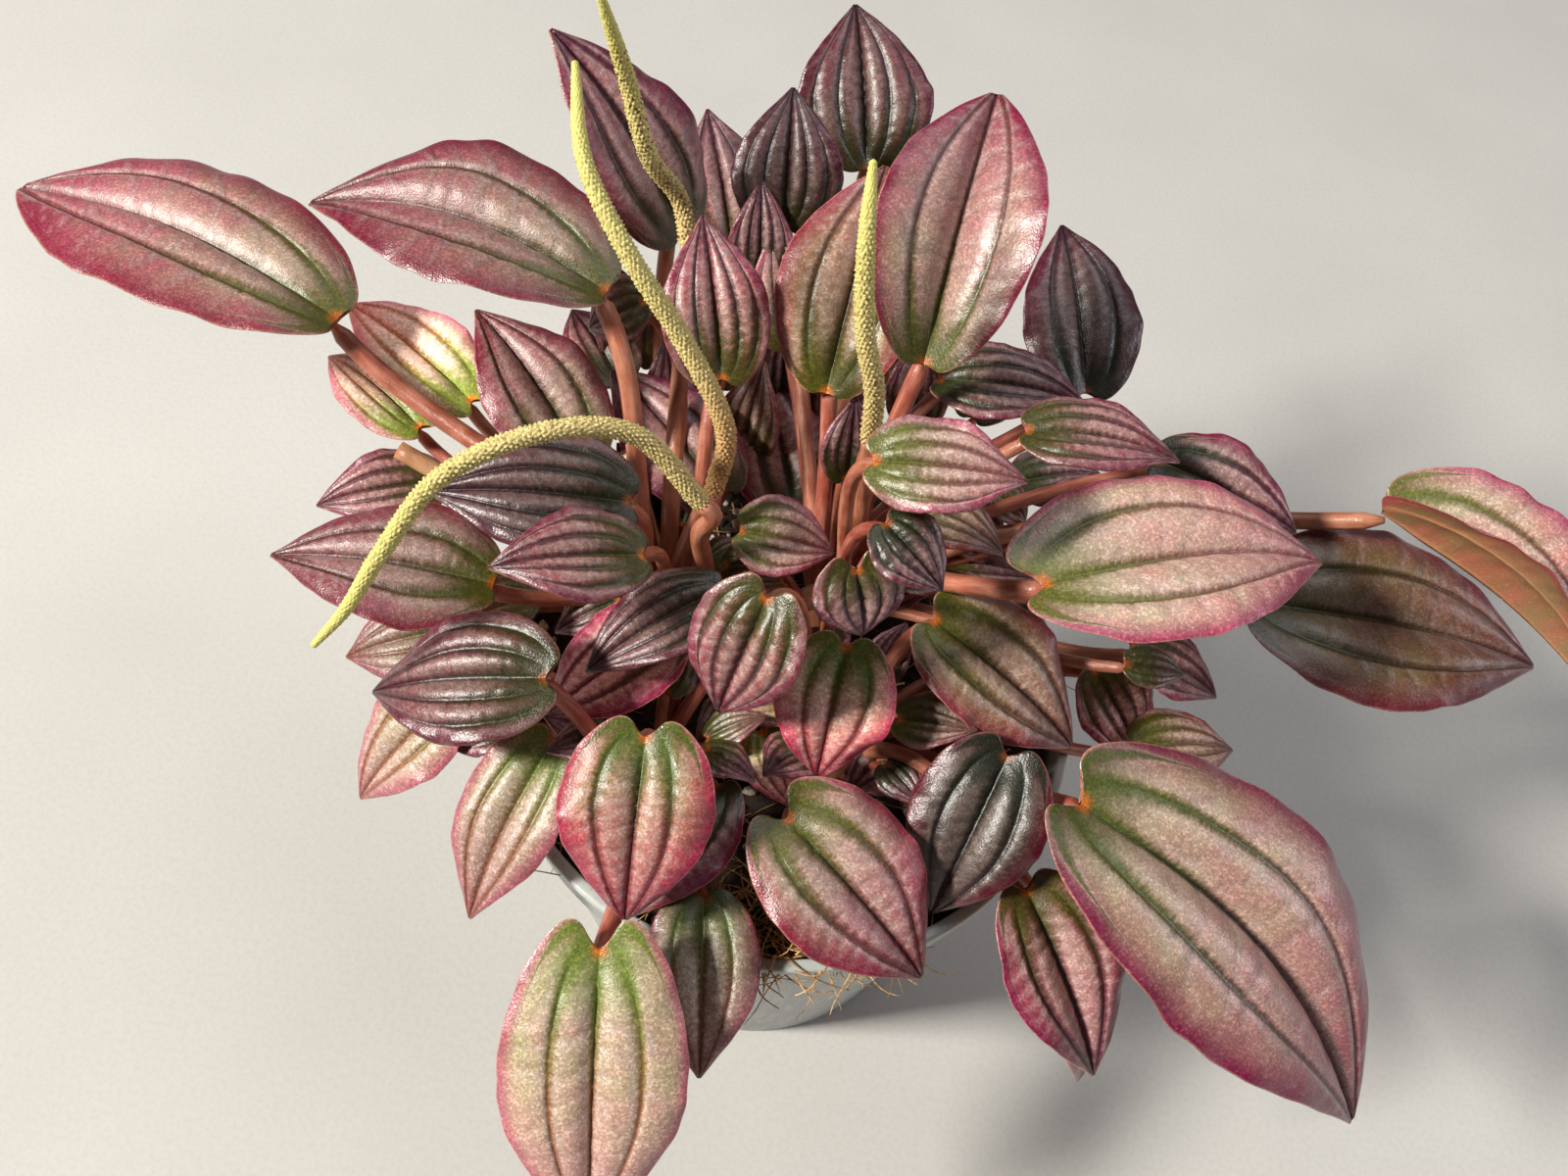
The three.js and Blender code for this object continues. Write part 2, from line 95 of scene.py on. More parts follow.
for name, settings in LIGHTS.items():
    add_light(name, *settings)
room = bpy.data.worlds.new("room")
room.use_nodes = True
room.node_tree.nodes["Background"].inputs["Color"].default_value = ROOM_COLOUR
room.node_tree.nodes["Background"].inputs["Strength"].default_value = ROOM_STRENGTH
bpy.context.scene.world = room
bpy.context.scene.view_settings.view_transform = "Standard"

# ---- Floor -------------------------------------------------------------------------------
# A plain pale sheet of matt card with a faint tooth. It lies under the pot, runs out of the picture on every
# side, and is not attached to the plant's body.

FLOOR_REACH = 1600
FLOOR_STEPS = 9


def cells(grid):
    """The four corners of each cell of a grid, in turn."""
    return np.stack([grid[:-1, :-1], grid[:-1, 1:], grid[1:, 1:], grid[1:, :-1]], axis=2)


def make_piece(name, sheets, materials):
    """One object from sheets of points. Each sheet has a grid of points, rows by columns, in
    millimetres, with a quad between each four neighbours. Where it wraps, the last column
    joins the first, and where it is capped, a fan about the end row's mean closes each end.
    uv has one column more than a grid that wraps. values are stored at the points, and tags
    give each quad its material."""
    vertices, faces, corners, marks = [], [], [], []
    stored_parts = {}
    start = 0
    for sheet in sheets:
        points = sheet["points"]
        rows, columns = points.shape[:2]
        wraps = sheet.get("wraps", True)
        index = start + np.arange(rows * columns).reshape(rows, columns)
        if wraps:
            index = np.hstack([index, index[:, :1]])
        uv = sheet["uv"]
        tags = np.broadcast_to(sheet.get("tags", 0), (rows - 1, index.shape[1] - 1))
        faces += cells(index).reshape(-1, 4).tolist()
        corners.append(cells(uv).reshape(-1, 2))
        marks.append(tags.ravel())
        block = [points.reshape(-1, 3)]
        values = {key: [grid.reshape(rows * columns, -1)] for key, grid in sheet.get("values", {}).items()}
        if sheet.get("capped", wraps):
            for row, step in ((0, -1), (-1, 1)):
                hub = start + rows * columns + (row == -1)
                ring = index[row][::step]
                fan = np.stack([np.full(len(ring) - 1, hub), ring[:-1], ring[1:]], axis=1)
                faces += fan.tolist()
                line = uv[row][::step]
                middle = np.broadcast_to(line.mean(axis=0), line[1:].shape)
                corners.append(np.stack([middle, line[:-1], line[1:]], axis=1).reshape(-1, 2))
                marks.append(tags[row][::step])
                block.append(points[row].mean(axis=0, keepdims=True))
                for key, grid in sheet.get("values", {}).items():
                    values[key].append(grid[row].reshape(columns, -1).mean(axis=0, keepdims=True))
        vertices.append(np.vstack(block))
        for key, parts in values.items():
            stored_parts.setdefault(key, []).append(np.vstack(parts))
        start += len(vertices[-1])
    mesh = bpy.data.meshes.new(name)
    mesh.from_pydata((np.vstack(vertices) * MM).tolist(), [], faces)
    mesh.uv_layers.new(name="UVMap").uv.foreach_set("vector", np.vstack(corners).astype(np.float32).ravel())
    for key, parts in stored_parts.items():
        grid = np.vstack(parts).astype(np.float32)
        kind, field = ("FLOAT", "value") if grid.shape[1] == 1 else ("FLOAT_VECTOR", "vector")
        mesh.attributes.new(key, kind, "POINT").data.foreach_set(field, grid.ravel())
    mesh.polygons.foreach_set("material_index", np.concatenate(marks).astype(np.int32))
    mesh.shade_smooth()
    for material in materials:
        mesh.materials.append(material)
    piece = bpy.data.objects.new(name, mesh)
    bpy.context.collection.objects.link(piece)
    return piece


def tint(code):
    """A shader colour from six hexadecimal digits, as a screen shows them."""
    shown = np.array([int(code[k:k + 2], 16) for k in (0, 2, 4)]) / 255
    linear = np.where(shown <= 0.04045, shown / 12.92, ((shown + 0.055) / 1.055) ** 2.4)
    return (*linear.tolist(), 1.0)


def fill_sockets(node, sockets):
    """Give each of a node's sockets its value, or the output that is joined to it."""
    for key, value in sockets.items():
        if isinstance(value, bpy.types.NodeSocket):
            node.id_data.links.new(value, node.inputs[key])
        else:
            node.inputs[key].default_value = value


def add_node(kind, sockets, tree=None, **settings):
    """One shader node, in a tree, or in that of the first output that is joined to it."""
    joined = [value for value in sockets.values() if isinstance(value, bpy.types.NodeSocket)]
    made = (tree or joined[0].id_data).nodes.new("ShaderNode" + kind)
    for key, value in settings.items():
        setattr(made, key, value)
    fill_sockets(made, sockets)
    return made


def mix(share, first, second):
    """The first colour turned into the second by a share. Each is an output or a tint's code."""
    first, second = (tint(colour) if isinstance(colour, str) else colour for colour in (first, second))
    return add_node("Mix", {0: share, 6: first, 7: second}, data_type="RGBA").outputs[2]


def ease(value, low, high, start=0.0, end=1.0):
    """Start below low and end above high, with a smooth passage between."""
    sockets = {"Value": value, "From Min": low, "From Max": high, "To Min": start, "To Max": end}
    return add_node("MapRange", sockets, interpolation_type="SMOOTHSTEP").outputs["Result"]


def over(below, colour, value, low, high, start=0.0, end=1.0):
    """A colour laid over the one below, by a share eased with a value from start to end."""
    return mix(ease(value, low, high, start, end), below, colour)


def noise(place, size, detail=2.0, rough=0.5, unit=MM):
    """A soft noise from 0 to 1 with lumps of a size in millimetres, each a unit long in place."""
    sockets = {"Vector": place, "Scale": 1 / (size * unit), "Detail": detail, "Roughness": rough}
    return add_node("TexNoise", sockets).outputs[0]


def add(first, second, how="ADD"):
    """The sum, or another result in one step, of two numbers."""
    return add_node("Math", {0: first, 1: second}, operation=how).outputs[0]


def times(first, second):
    """The product of two numbers."""
    return add(first, second, "MULTIPLY")


def relief(height, depth, under=None):
    """A normal raised by a height from 0 to 1, over a depth in millimetres."""
    sockets = {"Height": height, "Distance": depth * MM, "Strength": 1.0}
    if under is not None:
        sockets["Normal"] = under
    return add_node("Bump", sockets).outputs[0]


def new_material(name):
    """An empty material, its shader, and the place in the object's own metres."""
    material = bpy.data.materials.new(name)
    material.use_nodes = True
    place = add_node("TexCoord", {}, tree=material.node_tree).outputs["Object"]
    return material, material.node_tree.nodes["Principled BSDF"], place


card, shader, place = new_material("pale_card")
mottle = noise(place, 60, detail=4)
tooth = noise(place, 1.2, detail=3)
pale = mix(mottle, "b9b8b4", "c6c5c1")
fill_sockets(shader, {
    "Base Color": over(pale, "a9a8a5", tooth, 0.35, 0.75, 0, 0.25),
    "Roughness": ease(mottle, 0.2, 0.8, 0.85, 0.95),
    "Specular IOR Level": 0.2,
    "Normal": relief(tooth, 0.05),
})

reach = np.linspace(-FLOOR_REACH, FLOOR_REACH, FLOOR_STEPS)
floor_x, floor_y = np.meshgrid(reach, reach)
floor_points = np.stack([floor_x, floor_y, np.zeros_like(floor_x)], axis=-1)
floor_sheet = {"points": floor_points, "uv": floor_points[..., :2] / FLOOR_REACH, "wraps": False}
make_piece("floor", [floor_sheet], [card])

# ---- Pot ---------------------------------------------------------------------------------
# One moulded piece of thin milky polypropylene: a tapered wall, a step, a rim band and a
# rounded lip. Its floor lies flat and has a ring of drain holes. The soil stands in it.

# The wall's section as radius and height: up its outside, over the lip and down its inside.
POT_PROFILE = [
    (36.2, 0), (38, 0), (48.4, 78), (50.9, 79.5), (51.7, 89.6), (52.5, 90.0), (52.5, 92),
    (50.3, 92), (49.5, 80.9), (47, 79.4), (36.6, 2), (6, 2),
]
POT_ROUNDING = 0.7
POT_SIDES = 144
DRAIN_HOLES = 8
DRAIN_RADIUS = 3.5
DRAIN_CIRCLE = 27
DRILL_ENDS = (-3, 5)
DRILL_SIDES = 32


def rounded(profile, radius, steps=4):
    """A profile of straight lines with each inner corner cut back by a radius, or by less where
    a line is short, and joined by a quadratic arc whose control point is the old corner."""
    corner = np.array(profile[1:-1], float)[:, None]
    arms = []
    for neighbour in (profile[:-2], profile[2:]):
        way = np.array(neighbour, float)[:, None] - corner
        length = np.linalg.norm(way, axis=-1, keepdims=True)
        arms.append(corner + way * np.minimum(radius, 0.45 * length) / length)
    t = np.linspace(0, 1, steps + 1)[None, :, None]
    arcs = arms[0] * (1 - t) ** 2 + 2 * corner * t * (1 - t) + arms[1] * t ** 2
    return np.vstack([profile[:1], arcs.reshape(-1, 2), profile[-1:]])


def turned(profile, sides):
    """A profile of radius and height carried round the upright axis: (r cos a, r sin a, z)."""
    radius, height = np.asarray(profile, float).T
    angle = np.linspace(0, 2 * np.pi, sides, endpoint=False)
    across = radius[:, None] * np.cos(angle)
    deep = radius[:, None] * np.sin(angle)
    points = np.stack([across, deep, np.broadcast_to(height[:, None], across.shape)], axis=-1)
    run = np.concatenate([[0], np.cumsum(np.hypot(np.diff(radius), np.diff(height)))])
    share, length = np.meshgrid(np.linspace(0, 1, sides + 1), run)
    return {"points": points, "uv": np.stack([share, length], axis=-1)}


milky, shader, place = new_material("milky_polypropylene")
height = add_node("SeparateXYZ", {"Vector": place}).outputs["Z"]
clouds = noise(place, 9, detail=3)
flow = add_node("Mapping", {"Vector": place, "Scale": (1, 1, 0.12)}).outputs[0]
streaks = noise(flow, 1.6, detail=4)
soil_line = ease(add(height, times(clouds, 4 * MM)), 86 * MM, 91 * MM)
filled = mix(clouds, "929796", "a4a9a8")
empty = mix(clouds, "aab1ae", "bcc2bf")
wall = mix(soil_line, filled, empty)
wall = over(wall, "ccd1ce", streaks, 0.5, 0.85, 0, 0.35)
dust = ease(noise(place, 0.9), 0.66, 0.72, 0, 0.5)
dust = times(dust, ease(height, 10 * MM, 92 * MM, 0.15, 0.7))
fill_sockets(shader, {
    "Base Color": mix(dust, wall, "6b5a48"),
    "Roughness": ease(streaks, 0.3, 0.8, 0.28, 0.5),
    "Subsurface Weight": 0.25,
    "Subsurface Radius": (1.0, 1.0, 0.9),
    "Subsurface Scale": 2 * MM,
    "Normal": relief(streaks, 0.04, relief(clouds, 0.25)),
})

pot = make_piece("nursery_pot", [turned(rounded(POT_PROFILE, POT_ROUNDING), POT_SIDES)], [milky])
drills = []
for angle in 2 * np.pi * (np.arange(DRAIN_HOLES) + 0.5) / DRAIN_HOLES:
    drill = turned([(DRAIN_RADIUS, z) for z in DRILL_ENDS], DRILL_SIDES)
    drill["points"] = drill["points"] + (DRAIN_CIRCLE * math.cos(angle), DRAIN_CIRCLE * math.sin(angle), 0)
    drills.append(drill)
drill_set = make_piece("drill_set", drills, [milky])
drilling = pot.modifiers.new("drain_holes", "BOOLEAN")
drilling.object = drill_set
drilling.solver = "EXACT"
drilled = bpy.data.meshes.new_from_object(pot.evaluated_get(bpy.context.evaluated_depsgraph_get()))
pot.modifiers.clear()
pot.data = drilled
bpy.data.objects.remove(drill_set)
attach(pot, "root")
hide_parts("pot")

# ---- Soil --------------------------------------------------------------------------------
# Dark crumbly peat that fills the pot to a finger's width under the lip, with white perlite,
# loose crumbs and tan coir fibres. Some of the fibres hang over the lip at the front.

SOIL_TOP = 86
SOIL_MOUND = 2.5
SOIL_SETTLING = 0.3
SOIL_EDGE = 49.1
SOIL_WALL = [(36.2, 2.4), (46.6, 79.8), (49.1, 81.3)]
SOIL_FLOOR_HOLE = 4
SOIL_RINGS = 64
SOIL_SIDES = 180
SCATTER_REACH = 48
PERLITE_BITS = 190
PERLITE_RADII = (0.5, 1.5)
PERLITE_LIFT = 0.3
CRUMBS = 420
CRUMB_RADII = (0.4, 1.3)
COIR_FIBRES = 300
COIR_REACH = 47
COIR_LENGTHS = (4, 14)
# At the lip: how many, the spread of their bearings, and the ring and heights they start in.
LIP_FIBRES = 240
LIP_BEARING = (7, 13)
LIP_RING = (40, 51)
LIP_HEIGHTS = (88.5, 93.5)
LIP_LENGTHS = (5, 11)
HANGING_EVERY = 9
HANGING_LENGTHS = (4, 9)
HANGING_DROPS = (2, 8)


def rolling(x, y, size, seed):
    """A seeded smooth height from -1 to 1: seven sine waves that cross at odd angles, with
    wavelengths about a size in millimetres."""
    draw = np.random.default_rng(seed)
    turn = draw.uniform(0, 2 * np.pi, 7)
    wave = 2 * np.pi / (size * draw.uniform(0.7, 1.6, 7))
    start = draw.uniform(0, 2 * np.pi, 7)
    x, y = x[..., None], y[..., None]
    return np.sin(wave * (x * np.cos(turn) + y * np.sin(turn)) + start).sum(axis=-1) / 4


def soil_height(x, y):
    """The mound, which falls off with the square of the way to its edge, with clods of three
    sizes on it."""
    share = np.minimum(1, np.hypot(x, y) / SOIL_EDGE)
    clods = 0.45 * rolling(x, y, 9, 1) + 0.3 * rolling(x, y, 3.2, 2) + 0.2 * rolling(x, y, 1.4, 3)
    return SOIL_TOP + SOIL_MOUND * (1 - share ** 2) + clods - SOIL_SETTLING


def lump(places, sizes, seed, rows, columns):
    """Round lumps on a grid of latitude and longitude, each with its own radii and its own
    three slow dents: r (1 + 0.18 sin(2a + p) sin(b + q) + 0.1 sin(3a + s))."""
    draw = np.random.default_rng(seed)
    count = len(places)
    b = np.linspace(0, np.pi, rows + 2)[1:-1][None, :, None]
    a = np.linspace(0, 2 * np.pi, columns, endpoint=False)[None, None, :]
    p, q, s = draw.uniform(0, 2 * np.pi, (3, count, 1, 1))
    dent = 1 + 0.18 * np.sin(2 * a + p) * np.sin(b + q) + 0.1 * np.sin(3 * a + s)
    stretch = draw.uniform(0.65, 1.25, (count, 1, 1, 3))
    ball = np.stack([np.sin(b) * np.cos(a) * dent, np.sin(b) * np.sin(a) * dent, -np.cos(b) * dent], axis=-1)
    points = places[:, None, None] + ball * stretch * sizes[:, None, None, None]
    share, rise = np.meshgrid(np.linspace(0, 1, columns + 1), np.linspace(0, 1, rows))
    uv = np.stack([share, rise], axis=-1)
    return [{"points": grid, "uv": uv} for grid in points]


def scattered(count, outer, seed):
    """Seeded places on the soil's top, spread evenly within a radius."""
    draw = np.random.default_rng(seed)
    radius = np.sqrt(draw.uniform(0, outer ** 2, count))
    angle = draw.uniform(0, 2 * np.pi, count)
    x, y = radius * np.cos(angle), radius * np.sin(angle)
    return np.stack([x, y, soil_height(x, y)], axis=-1)


peat, shader, place = new_material("peat")
clod = noise(place, 3, detail=6, rough=0.65)
grit = noise(place, 0.5, detail=4, rough=0.7)
earth = over("1d140d", "3d2a1b", clod, 0.35, 0.65)
fill_sockets(shader, {
    "Base Color": over(earth, "6b4a2c", grit, 0.55, 0.75, 0, 0.8),
    "Roughness": ease(clod, 0.3, 0.7, 0.75, 0.98),
    "Normal": relief(grit, 0.5, relief(clod, 1.2)),
})

surface = [(SOIL_EDGE * share, SOIL_TOP) for share in np.linspace(1, 0.02, SOIL_RINGS)]
soil_sheet = turned([(SOIL_FLOOR_HOLE, SOIL_WALL[0][1]), *SOIL_WALL, *surface], SOIL_SIDES)
soil_top = soil_sheet["points"][-SOIL_RINGS:]
soil_top[..., 2] = soil_height(soil_top[..., 0], soil_top[..., 1])
crumb_places = scattered(CRUMBS, SCATTER_REACH, seed=21)
crumb_sizes = np.random.default_rng(22).uniform(*CRUMB_RADII, CRUMBS)
crumbs = lump(crumb_places, crumb_sizes, seed=23, rows=4, columns=6)
peat_bed = make_piece("peat_bed", [soil_sheet, *crumbs], [peat])
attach(peat_bed, "root")
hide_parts("soil")

foam, shader, place = new_material("perlite")
pore = noise(place, 0.35, detail=3)
fill_sockets(shader, {
    "Base Color": over("b3a790", "efe9da", pore, 0.35, 0.7),
    "Roughness": ease(pore, 0.3, 0.7, 0.7, 0.95),
    "Normal": relief(pore, 0.2),
})

bit_places = scattered(PERLITE_BITS, SCATTER_REACH, seed=31) + (0, 0, PERLITE_LIFT)
bit_sizes = np.random.default_rng(32).uniform(*PERLITE_RADII, PERLITE_BITS)
perlite = make_piece("perlite_bits", lump(bit_places, bit_sizes, seed=33, rows=5, columns=7), [foam])
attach(perlite, "root")


def travelled(path):
    """The way from a path's first point to each of its points."""
    return np.concatenate([[0], np.cumsum(np.linalg.norm(np.diff(path, axis=0), axis=1))])


def sections(path, radius, sides):
    """A round rod along a path of points. Each section stands square to the path, and its
    zero angle is the main axis least in line with the path, less its part along it. The
    point at angle a is centre + radius (side cos a + other side sin a)."""
    path = np.asarray(path, float)
    run = np.gradient(path, axis=-2)
    run /= np.linalg.norm(run, axis=-1, keepdims=True)
    axis = np.eye(3)[np.abs(run).max(axis=0).argmin()]
    side = axis - run * (run @ axis)[:, None]
    side /= np.linalg.norm(side, axis=-1, keepdims=True)
    other = np.cross(run, side)
    angle = np.linspace(0, 2 * np.pi, sides, endpoint=False)[:, None]
    spokes = side[:, None] * np.cos(angle) + other[:, None] * np.sin(angle)
    width = np.broadcast_to(np.asarray(radius, float).reshape(len(path), -1), (len(path), sides))
    points = path[:, None] + spokes * width[..., None]
    share, way = np.meshgrid(np.linspace(0, 1, sides + 1), travelled(path))
    return {"points": points, "uv": np.stack([share, way], axis=-1)}


def rod(path, radius, sides, age):
    """Sections along a path, with an age from 0, fresh, to 1, dry, stored all over."""
    sheet = sections(path, radius, sides)
    sheet["values"] = {"age": np.full(sheet["points"].shape[:2], age)}
    return sheet


def fibre(start, heading, length, drop, draw):
    """A fine bent thread: it sets off level along its heading, swings sideways on half a wave
    and falls with the square of the way."""
    t = np.linspace(0, 1, 9)[:, None]
    onward = np.array([math.cos(heading), math.sin(heading), 0])
    aside = np.array([-onward[1], onward[0], 0.3])
    swing = draw.uniform(-0.45, 0.45) * length
    path = start + onward * length * t + aside * swing * np.sin(np.pi * draw.uniform(0.6, 1.4) * t)
    path = path - np.array([0, 0, 1]) * (drop * t ** 2)
    return rod(path, draw.uniform(0.12, 0.24) * (1 - 0.6 * t[:, 0]), 5, draw.uniform(0, 0.8))


def stored(place, key, output="Fac"):
    """A value that is stored at the mesh's points, in the tree that a place belongs to."""
    return add_node("Attribute", {}, tree=place.id_data, attribute_name=key).outputs[output]


coir, shader, place = new_material("coir")
husk = noise(place, 0.8, detail=3)
hue = over("b88448", "f0cc90", husk, 0.3, 0.7)
fill_sockets(shader, {
    "Base Color": mix(stored(place, "age"), hue, "5a3a20"),
    "Roughness": ease(husk, 0.3, 0.7, 0.55, 0.85),
    "Normal": relief(husk, 0.08),
})

draw = np.random.default_rng(41)
fibres = []
for x, y, z in scattered(COIR_FIBRES, COIR_REACH, seed=42):
    heading = draw.uniform(0, 2 * np.pi)
    fibres.append(fibre((x, y, z + 0.5), heading, draw.uniform(*COIR_LENGTHS), 0.6, draw))
for k in range(LIP_FIBRES):
    angle = math.radians(-90 + draw.normal(*LIP_BEARING))
    inner = draw.uniform(*LIP_RING)
    start = (inner * math.cos(angle), inner * math.sin(angle), draw.uniform(*LIP_HEIGHTS))
    if k % HANGING_EVERY:
        fibres.append(fibre(start, draw.uniform(0, 2 * np.pi), draw.uniform(*LIP_LENGTHS), 1.5, draw))
    else:
        heading, length = angle + draw.normal(0, 0.9), draw.uniform(*HANGING_LENGTHS)
        fibres.append(fibre(start, heading, length, draw.uniform(*HANGING_DROPS), draw))
coir_tuft = make_piece("coir_tuft", fibres, [coir])
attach(coir_tuft, "root")

# ---- Leaf blades -------------------------------------------------------------------------
# Fleshy heart-shaped blades with a waxy skin. Sunken green-brown veins run from the foot to
# the tip, and the strips between them are puffed, silvery at the foot and crimson at the rim.

